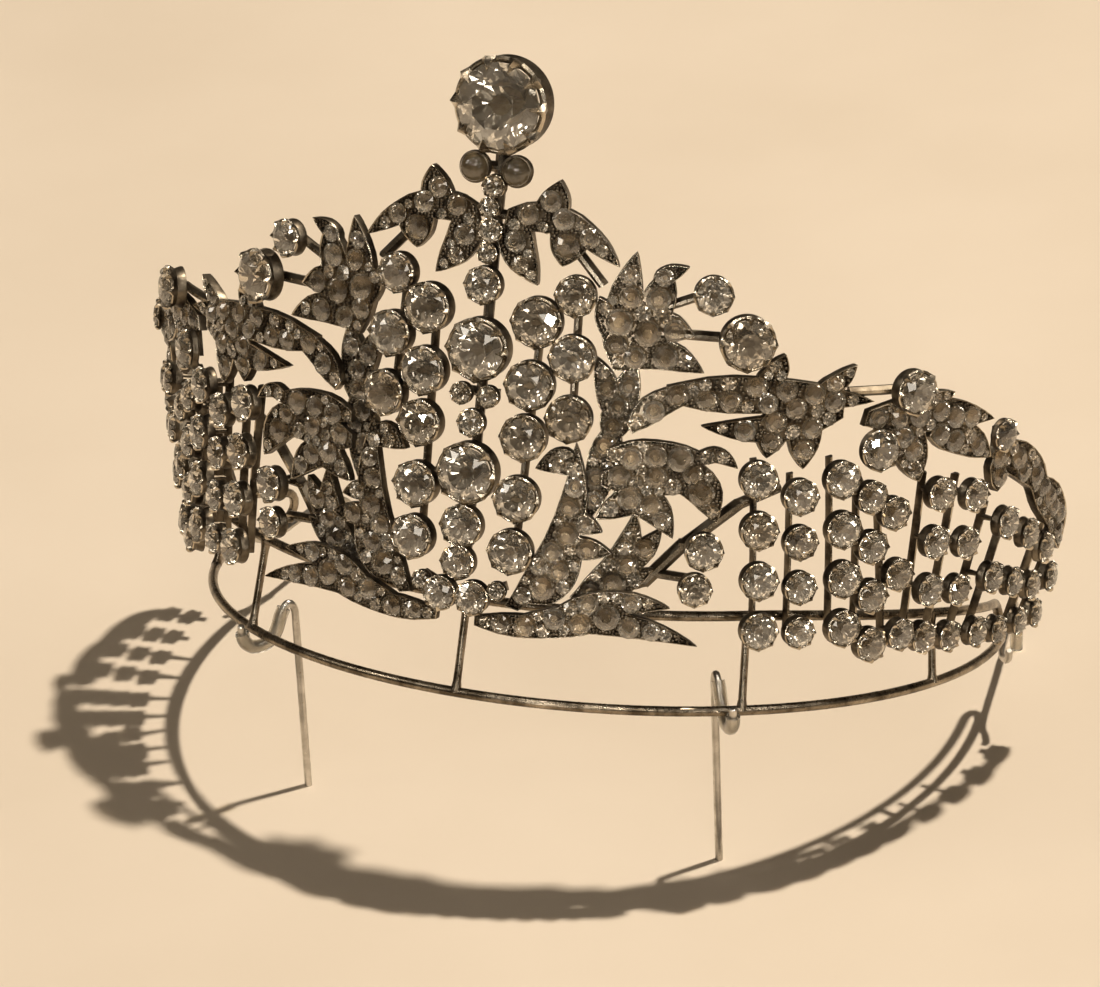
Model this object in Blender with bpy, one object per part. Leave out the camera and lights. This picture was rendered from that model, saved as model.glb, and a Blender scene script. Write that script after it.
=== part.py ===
"""Diamond tiara with leaf sprays, standing on four wire hooks. Lengths in the tables are millimetres."""
import bpy
import math
from mathutils import Vector
from mathutils.geometry import delaunay_2d_cdt

MM = 0.001
RAIL_RADIUS = 66.0
UPPER_FRONT = 63.2
UPPER_SIDE = 64.6
UPPER_HEIGHT = 14.5
RAIL_HALF = 0.8
END_ANGLE = 99.0
POST_ANGLES = (-72.0, -39.0, 0.0, 39.0, 72.0)
PITCH = math.radians(15.0)
RAIL_LIFT = 17.5
CENTRE_Y = -15.80
PATTERN_RADIUS = 68.0
SIDE_START = 67.8
SIDE_SLOPE = 0.22
FRONT_START = 69.1
FRONT_SLOPE = -0.10
FLARE = 4.5
FLARE_FROM = math.radians(60.0)
PLATE = 1.2
LEVEL_STEP = 1.5
STONE_SIDES = 8
FOOT_SIDES = 4
FOOT = 0.52
TABLE_SHARE = 0.58
STONE_GAP = 0.16

METAL = (0.20, 0.19, 0.17, 1.0)
STONE = (0.72, 0.70, 0.64, 1.0)
SMOOTH = (0.45, 0.42, 0.36, 1.0)
WIRE = (0.48, 0.46, 0.43, 1.0)

# leaf, level of the plate (1 is the front one), outward curl at the tips
LEAVES = [
    ("crest", 1, 0.6),
    ("upper_leaf", 1, 0.8),
    ("neck_leaf", 0, 0.0),
    ("long_leaf", 1, 0.6),
    ("middle_leaf", 1, 0.8),
    ("inner_leaf", 1, 0.6),
    ("lower_leaf", 0, 0.0),
    ("bottom_leaf", 1, 0.6),
    ("stem", -1, 0.0),
    ("far_leaf", 1, 0.5),
    ("end_leaf", 1, 0.5),
]

# leaf, root u, root v, tip u, tip v, sideways bow, width
LOBES = [
    ("crest", 6.4, 72.4, 8.3, 80.5, -0.3, 4.6),
    ("crest", 1.9, 74.4, 11.8, 73.2, 0.6, 4.4),
    ("crest", 7.2, 76.2, 17.0, 68.5, 0.4, 3.4),
    ("crest", 3.0, 74.4, 6.9, 64.4, -1.1, 4.8),
    ("crest", 10.2, 74.6, 9.8, 67.6, 0.2, 5.2),
    ("upper_leaf", 19.2, 52.9, 18.9, 71.0, 0.8, 5.2),
    ("upper_leaf", 19.8, 57.0, 14.9, 63.7, 0.5, 4.2),
    ("upper_leaf", 20.8, 58.0, 23.2, 69.2, -0.4, 5.0),
    ("upper_leaf", 21.8, 65.8, 25.7, 69.4, 0.7, 2.8),
    ("upper_leaf", 20.4, 58.6, 28.0, 58.9, 1.3, 4.8),
    ("upper_leaf", 18.6, 54.8, 30.0, 53.5, 1.6, 4.8),
    ("neck_leaf", 19.0, 41.6, 20.8, 54.2, 0.0, 4.8),
    ("neck_leaf", 18.7, 45.4, 15.5, 54.2, -0.4, 3.4),
    ("long_leaf", 21.4, 44.2, 31.0, 50.8, 1.4, 4.2),
    ("long_leaf", 25.4, 49.9, 54.6, 49.8, 0.6, 5.8),
    ("long_leaf", 38.0, 51.4, 40.4, 56.9, -0.4, 3.8),
    ("long_leaf", 46.0, 51.2, 50.7, 55.5, -0.6, 3.2),
    ("long_leaf", 50.4, 48.2, 31.0, 45.3, 1.4, 4.6),
    ("long_leaf", 40.6, 48.0, 40.8, 40.8, 0.3, 4.8),
    ("long_leaf", 44.4, 48.6, 46.4, 39.2, 0.3, 5.0),
    ("middle_leaf", 18.9, 40.0, 34.0, 40.0, 0.7, 4.2),
    ("middle_leaf", 18.7, 36.3, 33.4, 36.2, 0.5, 5.2),
    ("middle_leaf", 27.2, 38.4, 35.6, 30.6, 1.9, 5.4),
    ("middle_leaf", 20.6, 34.0, 29.9, 28.0, 1.9, 4.8),
    ("middle_leaf", 26.4, 34.0, 18.7, 30.1, -0.7, 4.2),
    ("middle_leaf", 31.0, 40.8, 37.0, 39.2, 1.0, 2.4),
    ("inner_leaf", 8.4, 15.0, 14.6, 41.4, -3.3, 5.0),
    ("inner_leaf", 15.8, 37.6, 9.5, 36.9, -1.2, 4.2),
    ("inner_leaf", 13.6, 29.0, 20.0, 28.1, 0.6, 3.4),
    ("inner_leaf", 13.2, 25.0, 21.8, 25.0, 0.3, 3.8),
    ("inner_leaf", 10.4, 16.8, 17.6, 23.8, -0.9, 4.8),
    ("lower_leaf", 17.6, 16.8, 24.2, 31.4, -2.6, 5.2),
    ("lower_leaf", 22.6, 21.6, 28.4, 28.8, -0.6, 3.8),
    ("lower_leaf", 19.6, 18.2, 28.2, 22.6, -0.5, 3.6),
    ("bottom_leaf", 3.0, 12.4, 24.0, 13.7, -0.4, 3.6),
    ("bottom_leaf", 9.0, 12.9, 36.5, 11.3, 2.2, 4.2),
    ("bottom_leaf", 14.8, 14.8, 31.4, 17.1, 1.4, 4.0),
    ("far_leaf", 54.2, 47.0, 77.4, 45.6, 0.9, 5.8),
    ("far_leaf", 62.0, 46.6, 68.2, 50.6, 0.5, 3.6),
    ("far_leaf", 60.0, 45.6, 66.0, 36.4, 0.5, 5.6),
    ("far_leaf", 66.0, 44.6, 79.0, 39.2, 0.8, 5.4),
    ("end_leaf", 80.0, 40.2, 97.6, 30.0, 1.4, 5.6),
    ("end_leaf", 81.4, 39.8, 83.6, 32.8, 0.4, 4.8),
    ("end_leaf", 92.6, 33.2, 109.4, 18.6, 1.3, 5.6),
]

# piece, start u, start v, end u, end v, width of a plain stalk
STALKS = [
    ("crest", 11.0, 70.4, 15.2, 65.3, 1.4),
    ("upper_leaf", 23.8, 63.0, 30.2, 66.1, 1.4),
    ("upper_leaf", 22.8, 59.0, 35.6, 58.8, 1.5),
    ("neck_leaf", 18.8, 43.2, 17.9, 30.6, 2.4),
    ("long_leaf", 50.8, 51.0, 61.0, 51.4, 1.5),
    ("stem", 20.6, 17.8, 27.8, 20.4, 2.2),
    ("stem", 27.2, 19.8, 32.2, 26.0, 2.2),
    ("stem", 31.8, 25.5, 39.4, 32.6, 2.0),
    ("stem", 39.0, 32.4, 45.2, 35.4, 1.8),
    ("stem", 28.6, 21.4, 35.4, 20.6, 1.4),
    ("stem", 31.4, 26.2, 35.8, 26.2, 1.4),
    ("far_leaf", 57.2, 47.0, 57.2, 41.2, 1.4),
    ("end_leaf", 81.0, 40.2, 80.0, 44.0, 1.4),
    ("end_leaf", 100.4, 26.0, 102.0, 6.4, 1.4),
    ("end_leaf", 107.8, 19.8, 108.8, 6.0, 1.4),
]

# piece, first u, first v, last u, last v, number of stones, first size, last size
ROWS = [
    ("crest", 7.2, 77.7, 7.2, 77.7, 1, 2.8, 2.8),
    ("crest", 3.2, 74.9, 3.2, 74.9, 1, 3.1, 3.1),
    ("crest", 6.8, 73.0, 6.8, 73.0, 1, 4.3, 4.3),
    ("crest", 10.0, 75.0, 10.0, 70.6, 2, 2.9, 3.4),
    ("crest", 3.9, 70.6, 4.6, 66.0, 2, 3.1, 3.2),
    ("upper_leaf", 18.8, 67.8, 18.8, 63.8, 2, 2.8, 2.8),
    ("upper_leaf", 18.1, 59.4, 22.0, 58.5, 2, 3.6, 3.6),
    ("upper_leaf", 22.2, 62.6, 23.8, 66.6, 2, 2.8, 2.8),
    ("upper_leaf", 25.0, 59.9, 25.0, 59.9, 1, 3.0, 3.0),
    ("upper_leaf", 23.8, 54.9, 27.4, 54.9, 2, 3.1, 3.0),
    ("neck_leaf", 18.6, 49.4, 18.6, 49.4, 1, 2.8, 2.8),
    ("long_leaf", 29.4, 49.6, 47.6, 50.9, 6, 3.0, 3.1),
    ("long_leaf", 36.4, 47.2, 46.4, 47.2, 3, 3.0, 3.0),
    ("long_leaf", 41.8, 43.8, 41.8, 43.8, 1, 2.8, 2.8),
    ("middle_leaf", 22.0, 40.2, 29.8, 40.2, 3, 2.8, 3.2),
    ("middle_leaf", 20.8, 36.4, 29.0, 35.9, 3, 3.0, 3.8),
    ("middle_leaf", 32.8, 35.2, 32.8, 35.2, 1, 3.5, 3.5),
    ("middle_leaf", 23.4, 32.9, 27.0, 32.4, 2, 2.9, 2.9),
    ("inner_leaf", 12.5, 37.7, 15.3, 35.4, 2, 3.3, 2.8),
    ("inner_leaf", 14.0, 31.4, 14.3, 27.5, 2, 3.5, 3.2),
    ("inner_leaf", 12.9, 20.4, 12.9, 20.4, 1, 3.1, 3.1),
    ("lower_leaf", 23.6, 23.6, 23.6, 23.6, 1, 2.8, 2.8),
    ("bottom_leaf", 12.2, 12.9, 18.0, 13.2, 2, 2.8, 2.8),
    ("bottom_leaf", 22.4, 15.1, 31.4, 14.4, 3, 3.6, 2.9),
    ("far_leaf", 55.6, 47.3, 74.4, 45.4, 5, 3.0, 3.0),
    ("far_leaf", 64.2, 41.0, 64.2, 41.0, 1, 3.0, 3.0),
    ("far_leaf", 71.6, 41.6, 71.6, 41.6, 1, 2.9, 2.9),
    ("end_leaf", 84.4, 38.8, 92.6, 34.4, 3, 3.1, 3.1),
    ("end_leaf", 83.2, 35.4, 83.2, 35.4, 1, 2.8, 2.8),
    ("end_leaf", 97.2, 30.2, 101.6, 26.2, 2, 3.0, 3.0),
]

# piece, stone u, stone v, size, height of the cup
CUPS = [
    ("upper_leaf", 29.2, 65.65, 5.3, 2.6),
    ("upper_leaf", 34.6, 58.8, 7.6, 3.2),
    ("long_leaf", 60.0, 51.4, 6.2, 2.8),
    ("stem", 34.6, 26.2, 5.2, 4.4),
    ("stem", 34.4, 20.2, 4.6, 4.4),
    ("far_leaf", 57.2, 42.2, 5.8, 1.8),
    ("end_leaf", 80.3, 42.7, 4.6, 1.4),
    ("end_leaf", 100.82, 20.8, 4.5, 1.8),
    ("end_leaf", 101.36, 14.2, 4.4, 1.8),
    ("end_leaf", 101.89, 7.8, 4.2, 1.8),
    ("end_leaf", 108.2, 14.2, 4.4, 1.8),
    ("end_leaf", 108.68, 7.6, 4.2, 1.8),
]

# string, top u, top v, bottom u, bottom v, stones, top size, bottom size, level
STRINGS = [
    ("string_a", 40.2, 37.6, 45.2, 13.8, 4, 5.2, 5.2, 0),
    ("string_b", 46.8, 35.0, 51.6, 13.4, 4, 5.0, 4.4, -1),
    ("string_c", 52.6, 37.6, 59.0, 13.6, 4, 5.2, 5.2, -1),
    ("string_d", 58.0, 34.6, 64.8, 10.4, 4, 4.6, 4.9, -1),
    ("string_e", 62.6, 31.8, 70.2, 11.4, 3, 4.7, 4.5, -1),
    ("string_f", 70.4, 34.2, 75.4, 10.2, 4, 4.8, 4.6, -1),
    ("string_g", 77.6, 33.2, 81.4, 9.4, 4, 4.7, 4.4, -1),
    ("string_h", 87.2, 27.4, 88.6, 8.8, 3, 4.7, 4.4, -1.2),
    ("string_i", 94.2, 24.4, 95.2, 7.8, 3, 4.5, 4.2, -1.3),
]

# string, v and size of each large stone
LARGE = [
    ("inner_string", 59.0, 7.0),
    ("inner_string", 49.4, 6.8),
    ("inner_string", 41.4, 6.4),
    ("inner_string", 32.0, 6.4),
    ("inner_string", 23.9, 6.2),
    ("outer_string", 63.6, 5.6),
    ("outer_string", 54.2, 6.4),
    ("outer_string", 45.0, 6.4),
]

# string, u at v 60, u at v 40
LARGE_LINES = [
    ("inner_string", 7.5, 7.5),
    ("outer_string", 12.3, 13.6),
]

# setting, v of the stone, size of the stone, claws
CENTRE = [
    ("top", 90.7, 13.4, 8),
    ("upper_centre", 53.8, 8.8, 6),
    ("lower_centre", 34.9, 8.6, 6),
]

# leg angle round the rail
FRONT_LEGS = [-37.0, 37.0]
REAR_LEGS = [-97.0, 97.0]

# distance outward of the rail, height over its line (none on the first row: the floor), wire radius
FRONT_HOOK = [
    (-6.7, None, 0.8),
    (-6.7, 1.6, 0.8),
    (-6.3, 2.9, 0.8),
    (-5.5, 3.4, 0.8),
    (-4.7, 2.8, 0.8),
    (-4.0, 1.4, 1.15),
    (-3.2, -0.6, 1.15),
    (-2.1, -2.0, 1.15),
    (-0.4, -2.6, 1.15),
    (1.4, -2.2, 1.15),
    (2.6, -0.9, 1.15),
    (3.0, 0.8, 1.15),
    (3.0, 2.2, 0.8),
]

# distance outward of the rail's end, distance behind it, height over the floor, wire radius
REAR_HOOK = [
    (-4.0, 24.0, 0.0, 1.15),
    (-4.0, 24.0, 5.5, 1.15),
    (-3.6, 22.0, 9.6, 0.8),
    (-2.2, 16.0, 12.2, 0.8),
    (0.0, 2.0, 12.9, 0.8),
    (1.6, -1.6, 13.3, 0.8),
    (2.6, -3.2, 14.6, 0.8),
    (2.9, -3.8, 16.4, 0.8),
]


def clear_scene():
    for item in list(bpy.data.objects):
        bpy.data.objects.remove(item, do_unlink=True)


def paint(name, color, metallic, roughness):
    material = bpy.data.materials.new(name)
    material.use_nodes = True
    shader = material.node_tree.nodes["Principled BSDF"]
    shader.inputs["Base Color"].default_value = color
    shader.inputs["Metallic"].default_value = metallic
    shader.inputs["Roughness"].default_value = roughness
    material.diffuse_color = color
    return material


def tilt(x, y, z):
    """Pitch the tiara back and lift it to its height on the stand."""
    back = y * math.cos(PITCH) + z * math.sin(PITCH)
    high = z * math.cos(PITCH) - y * math.sin(PITCH)
    return Vector((x, back - CENTRE_Y, high + RAIL_LIFT))


def on_surface(u, v, offset):
    """A point of the flat pattern carried to the tiara's curved face."""
    angle = u / PATTERN_RADIUS
    side = SIDE_START + SIDE_SLOPE * v + offset
    front = FRONT_START + FRONT_SLOPE * v + offset
    past = max(0.0, abs(angle) - FLARE_FROM) / math.radians(35.0)
    spread = math.copysign(FLARE * past ** 2 * min(1.0, (v + 8.0) / 34.0), angle)
    return tilt(side * math.sin(angle) + spread, -front * math.cos(angle), v)


def add_solid(name, points, faces, material):
    mesh = bpy.data.meshes.new(name)
    mesh.from_pydata([tuple(point * MM) for point in points], [], faces)
    mesh.validate()
    mesh.update()
    mesh.materials.append(material)
    item = bpy.data.objects.new(name, mesh)
    bpy.context.scene.collection.objects.link(item)
    return item


def lobe_outline(root, tip, bow, width):
    """A pointed leaf lobe along a bowed line, widest a third of the way up."""
    stations = ((0.0, 0.42), (0.30, 1.0), (0.70, 0.76))
    along = (tip[0] - root[0], tip[1] - root[1])
    length = math.hypot(*along)
    across = (-along[1] / length, along[0] / length)

    def middle(share):
        lift = 4.0 * bow * share * (1.0 - share)
        return (root[0] + along[0] * share + across[0] * lift, root[1] + along[1] * share + across[1] * lift)

    left = []
    right = []
    for share, swell in stations:
        centre = middle(share)
        half = 0.5 * width * swell
        left.append((centre[0] + across[0] * half, centre[1] + across[1] * half))
        right.append((centre[0] - across[0] * half, centre[1] - across[1] * half))
    return right + [tip] + left[::-1]


def bar_outline(start, end, width):
    along = (end[0] - start[0], end[1] - start[1])
    length = math.hypot(*along)
    across = (-along[1] / length * width / 2, along[0] / length * width / 2)
    return [
        (start[0] - across[0], start[1] - across[1]),
        (end[0] - across[0], end[1] - across[1]),
        (end[0] + across[0], end[1] + across[1]),
        (start[0] + across[0], start[1] + across[1]),
    ]


def ring_outline(centre, radius, sides):
    turn = math.pi / sides
    return [
        (
            centre[0] + radius * math.cos(2 * math.pi * k / sides + turn),
            centre[1] + radius * math.sin(2 * math.pi * k / sides + turn),
        )
        for k in range(sides)
    ]


def spaced(stones):
    """Shrink neighbours evenly until every pair of stones keeps the stone gap."""
    sizes = [stone[2] for stone in stones]
    for turn in range(4):
        for i in range(len(stones)):
            for j in range(i + 1, len(stones)):
                apart = math.hypot(stones[i][0] - stones[j][0], stones[i][1] - stones[j][1])
                over = (sizes[i] + sizes[j]) / 2 + STONE_GAP - apart
                if over > 0:
                    sizes[i] -= over
                    sizes[j] -= over
    return [(stone[0], stone[1], size, stone[3], stone[4]) for stone, size in zip(stones, sizes)]


def loops_from(edges):
    follow = {}
    for start, end in edges:
        if start in follow:
            raise ValueError("outline touches itself")
        follow[start] = end
    loops = []
    while follow:
        start = min(follow)
        loop = [start]
        step = follow.pop(start)
        while step != start:
            loop.append(step)
            step = follow.pop(step)
        loops.append(loop)
    return loops


def rim_edges(triangles):
    seen = set()
    for a, b, c in triangles:
        seen.update(((a, b), (b, c), (c, a)))
    return sorted(edge for edge in seen if (edge[1], edge[0]) not in seen)


def signed_area(flat, loop):
    total = 0.0
    for k, index in enumerate(loop):
        ahead = loop[(k + 1) % len(loop)]
        total += flat[index][0] * flat[ahead][1] - flat[ahead][0] * flat[index][1]
    return total / 2


def inside(point, ring):
    hit = False
    for k, (x1, y1) in enumerate(ring):
        x2, y2 = ring[(k + 1) % len(ring)]
        if (y1 > point[1]) != (y2 > point[1]):
            if point[0] < (x2 - x1) * (point[1] - y1) / (y2 - y1) + x1:
                hit = not hit
    return hit


def stitch(below, above):
    """Triangles between two rings of (angle, point), each turning the same way."""
    lower = sorted(below)
    upper = sorted(above)
    faces = []
    i = 0
    j = 0
    while i < len(lower) or j < len(upper):
        next_low = lower[i + 1][0] if i + 1 < len(lower) else lower[0][0] + 2 * math.pi
        next_high = upper[j + 1][0] if j + 1 < len(upper) else upper[0][0] + 2 * math.pi
        low = lower[i % len(lower)][1]
        high = upper[j % len(upper)][1]
        if j == len(upper) or (i < len(lower) and next_low <= next_high + 1e-9):
            faces.append([low, lower[(i + 1) % len(lower)][1], high])
            i += 1
        else:
            faces.append([low, upper[(j + 1) % len(upper)][1], high])
            j += 1
    return faces


def sheet_solid(name, outlines, stones, bottom, curl, root, material, mirror):
    """A curved plate cut to the joined outlines, with every stone raised from its face.

    Each stone is (u, v, size, radius of the cup's foot, height of its cup); a stone with no
    cup lies straight on the plate.
    """
    stones = spaced(stones)
    polygons = list(outlines)
    for u, v, size, foot, cup in stones:
        if cup > 0:
            polygons.append(ring_outline((u, v), foot, FOOT_SIDES))
        else:
            polygons.append(ring_outline((u, v), 0.5 * size, STONE_SIDES))
    corners = []
    faces = []
    for polygon in polygons:
        if signed_area(polygon, range(len(polygon))) < 0:
            polygon = polygon[::-1]
        faces.append(list(range(len(corners), len(corners) + len(polygon))))
        corners.extend(Vector(corner) for corner in polygon)
    made = delaunay_2d_cdt(corners, [], faces, 1, 1e-4, True)
    flat = [tuple(corner) for corner in made[0]]
    triangles = []
    owner = []
    for face, parents in zip(made[2], made[5]):
        if not parents:
            continue
        face = list(face)
        if signed_area(flat, face) < 0:
            face.reverse()
        triangles.append(tuple(face))
        stone = [parent - len(outlines) for parent in parents if parent >= len(outlines)]
        owner.append(stone[0] if stone else -1)

    reach = max(math.hypot(x - root[0], y - root[1]) for x, y in flat)

    def lifted(x, y, rise):
        bend = curl * (math.hypot(x - root[0], y - root[1]) / reach) ** 2
        return on_surface(x, y, bottom + bend + rise)

    points = []
    solid = []
    front = {}
    rear = {}

    def front_at(index):
        if index not in front:
            front[index] = len(points)
            points.append(lifted(flat[index][0], flat[index][1], PLATE))
        return front[index]

    def rear_at(index):
        if index not in rear:
            rear[index] = len(points)
            points.append(lifted(flat[index][0], flat[index][1], 0.0))
        return rear[index]

    for triangle, stone in zip(triangles, owner):
        if stone < 0:
            solid.append([front_at(index) for index in triangle])
    for number, (u, v, size, foot, cup) in enumerate(stones):
        own = [triangle for triangle, stone in zip(triangles, owner) if stone == number]
        ring = loops_from(rim_edges(own))[0]
        below = [(math.atan2(flat[index][1] - v, flat[index][0] - u), front_at(index)) for index in ring]
        steps = [(TABLE_SHARE, cup + 0.20 * size)]
        if cup > 0:
            steps.insert(0, (1.0, cup))
        for share, rise in steps:
            above = []
            for x, y in ring_outline((u, v), 0.5 * size * share, STONE_SIDES):
                above.append((math.atan2(y - v, x - u), len(points)))
                points.append(lifted(x, y, PLATE + rise))
            solid.extend(stitch(below, above))
            below = above
        solid.append([index for turn, index in below])

    rim = rim_edges(triangles)
    for start, end in rim:
        solid.append([front_at(end), front_at(start), rear_at(start), rear_at(end)])
    loops = loops_from(rim)
    outer = [loop for loop in loops if signed_area(flat, loop) > 0]
    holes = [loop for loop in loops if signed_area(flat, loop) < 0]
    if len(outer) != 1:
        raise ValueError(name + " is in %d pieces" % len(outer))
    order = [index for loop in loops for index in loop]
    place = {index: k for k, index in enumerate(order)}
    edges = []
    for loop in holes:
        for k, index in enumerate(loop):
            edges.append((place[index], place[loop[(k + 1) % len(loop)]]))
    ring = [place[index] for index in outer[0]]
    back = delaunay_2d_cdt([Vector(flat[index]) for index in order], edges, [ring], 1, 1e-6, True)
    rings = [[flat[index] for index in loop] for loop in holes]
    for face, parents in zip(back[2], back[5]):
        if not parents:
            continue
        middle = [sum(back[0][k][axis] for k in face) / 3 for axis in (0, 1)]
        if any(inside(middle, hole) for hole in rings):
            continue
        face = [order[back[3][k][0]] for k in face]
        if signed_area(flat, face) < 0:
            face.reverse()
        solid.append([rear_at(index) for index in reversed(face)])
    if mirror:
        points = [Vector((-point.x, point.y, point.z)) for point in points]
        solid = [face[::-1] for face in solid]
    return add_solid(name, points, solid, material)


def tube(path, radii, sides, outward, closed):
    """Rings swept along a path; outward gives each ring's first direction."""
    points = []
    faces = []
    count = len(path)
    for k in range(count):
        if closed:
            along = path[(k + 1) % count] - path[k - 1]
        else:
            along = path[min(k + 1, count - 1)] - path[max(k - 1, 0)]
        along.normalize()
        first = outward[k] - along * outward[k].dot(along)
        first.normalize()
        second = along.cross(first)
        for side in range(sides):
            turn = 2 * math.pi * (side + 0.5) / sides
            points.append(path[k] + radii[k] * (first * math.cos(turn) + second * math.sin(turn)))
    spans = count if closed else count - 1
    for k in range(spans):
        ahead = (k + 1) % count
        for side in range(sides):
            beside = (side + 1) % sides
            faces.append([k * sides + side, k * sides + beside, ahead * sides + beside, ahead * sides + side])
    if not closed:
        faces.append([side for side in range(sides)][::-1])
        faces.append([(count - 1) * sides + side for side in range(sides)])
    return points, faces


def upper_height(angle):
    """Height of the upper rail over the lower one; it drops towards both ends."""
    past = max(0.0, abs(angle) - 40.0) / (END_ANGLE - 40.0)
    return UPPER_HEIGHT * (1.0 - 0.60 * past ** 1.5)


def rail_point(angle, share):
    """share 0 is the lower rail and 1 the upper one."""
    turn = math.radians(angle)
    side = RAIL_RADIUS + (UPPER_SIDE - RAIL_RADIUS) * share
    front = RAIL_RADIUS + (UPPER_FRONT - RAIL_RADIUS) * share
    return Vector((side * math.sin(turn), -front * math.cos(turn), upper_height(angle) * share))


def join_solids(base, extra):
    for other in extra:
        cut = base.modifiers.new("joined", "BOOLEAN")
        cut.operation = "UNION"
        cut.solver = "EXACT"
        cut.object = other
    graph = bpy.context.evaluated_depsgraph_get()
    mesh = bpy.data.meshes.new_from_object(base.evaluated_get(graph))
    old = base.data
    base.modifiers.clear()
    base.data = mesh
    bpy.data.meshes.remove(old)
    for other in extra:
        bpy.data.objects.remove(other, do_unlink=True)


def build_frame(material):
    path = []
    steps = 28
    for k in range(steps + 1):
        path.append(rail_point(-END_ANGLE + 2 * END_ANGLE * k / steps, 0.0))
    for k in range(1, 5):
        turn = math.pi * k / 5
        bulge = math.degrees(upper_height(END_ANGLE) / 2 / RAIL_RADIUS) * math.sin(turn)
        path.append(rail_point(END_ANGLE + bulge, (1 - math.cos(turn)) / 2))
    for k in range(steps + 1):
        path.append(rail_point(END_ANGLE - 2 * END_ANGLE * k / steps, 1.0))
    for k in range(1, 5):
        turn = math.pi * k / 5
        bulge = math.degrees(upper_height(END_ANGLE) / 2 / RAIL_RADIUS) * math.sin(turn)
        path.append(rail_point(-END_ANGLE - bulge, (1 + math.cos(turn)) / 2))
    outward = [Vector((point.x, point.y, 0.0)).normalized() for point in path]
    points, faces = tube(path, [RAIL_HALF] * len(path), 6, outward, True)
    points = [tilt(*point) for point in points]
    frame = add_solid("rail_frame", points, faces, material)
    posts = []
    for angle in POST_ANGLES:
        low = rail_point(angle, 0.0)
        high = rail_point(angle, 1.0)
        facing = Vector((low.x, low.y, 0.0)).normalized()
        points, faces = tube([low, high], [0.62, 0.62], 6, [facing, facing], False)
        points = [tilt(*point) for point in points]
        posts.append(add_solid("post", points, faces, material))
    join_solids(frame, posts)
    for face in frame.data.polygons:
        face.material_index = 0
    return frame


def lathe(name, profile, sides, centre_v, material, claws=0, start=0.0):
    """Turn a closed profile of (radius, offset) about the line out of the tiara at its centre."""
    points = []
    faces = []
    rows = len(profile)
    single = [radius < 1e-9 for radius, offset in profile]
    index = []
    for row, (radius, offset) in enumerate(profile):
        if single[row]:
            index.append([len(points)] * sides)
            points.append(on_axis(0.0, 0.0, offset, centre_v))
            continue
        ring = []
        for k in range(sides):
            turn = 2 * math.pi * (k + start) / sides
            reach = radius
            out = offset
            if claws and row in claws and k % 2 == 0:
                reach = radius - claws[row][0]
                out = offset + claws[row][1]
            ring.append(len(points))
            points.append(on_axis(reach * math.cos(turn), reach * math.sin(turn), out, centre_v))
        index.append(ring)
    for row in range(rows if not any(single) else rows - 1):
        ahead = (row + 1) % rows
        for k in range(sides):
            beside = (k + 1) % sides
            face = [index[row][k], index[row][beside], index[ahead][beside], index[ahead][k]]
            face = [corner for n, corner in enumerate(face) if corner not in face[:n]]
            faces.append(face)
    return points, faces


def on_axis(across, up, offset, centre_v):
    front = FRONT_START + FRONT_SLOPE * centre_v + offset
    return tilt(across, -front, centre_v + up)


def build_centre(name, v, size, claws, metal, stone):
    half = size / 2
    deep = 0.42 * size
    top = 1.6
    # radius, offset from the face of the tiara; an open cup with claws over the girdle
    cup = [
        (0.50 * half, top - deep - 0.6),
        (half + 0.85, top - 0.2),
        (half + 0.85, top + 0.5),
        (half + 0.42, top + 0.5),
        (half + 0.42, top - 0.2),
        (0.50 * half - 0.45, top - deep + 0.2),
    ]
    points, faces = lathe(name, cup, 2 * claws, v, metal, {2: (0.45, 0.75), 3: (0.75, 0.75)})
    add_solid(name + "_setting", points, orient(points, faces), metal)
    gem = [
        (0.0, top - deep + 0.65),
        (0.12 * half, top - deep + 0.65),
        (0.985 * half, top - 0.05),
        (0.985 * half, top + 0.18),
        (0.80 * half, top + 0.09 * size),
        (0.56 * half, top + 0.16 * size),
        (0.0, top + 0.16 * size),
    ]
    points, faces = lathe(name, gem, 2 * claws, v, stone)
    add_solid(name + "_stone", points, orient(points, faces), stone)


def orient(points, faces):
    """Turn every face outward when the whole shell was wound inward."""
    volume = 0.0
    for face in faces:
        for k in range(1, len(face) - 1):
            volume += points[face[0]].dot(points[face[k]].cross(points[face[k + 1]]))
    return [face[::-1] for face in faces] if volume < 0 else faces


def leaf_pieces(leaf):
    outlines = [lobe_outline((a, b), (c, d), bow, width) for n, a, b, c, d, bow, width in LOBES if n == leaf]
    outlines += [bar_outline((a, b), (c, d), width) for n, a, b, c, d, width in STALKS if n == leaf]
    stones = []
    for n, a, b, c, d, count, first, last in ROWS:
        if n != leaf:
            continue
        for k in range(count):
            share = k / (count - 1) if count > 1 else 0.0
            size = first + (last - first) * share
            stones.append((a + (c - a) * share, b + (d - b) * share, size, 0.0, 0.0))
    stones += [(a, b, size, FOOT, cup) for n, a, b, size, cup in CUPS if n == leaf]
    return outlines, stones


def sides():
    return (("right", False), ("left", True))


def build_leaves(material):
    for leaf, level, curl in LEAVES:
        outlines, stones = leaf_pieces(leaf)
        root = [row[1:3] for row in LOBES + STALKS if row[0] == leaf][0]
        for side, mirror in sides():
            name = leaf + "_" + side
            sheet_solid(name, outlines, stones, -PLATE + LEVEL_STEP * (level - 1), curl, root, material, mirror)


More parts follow.
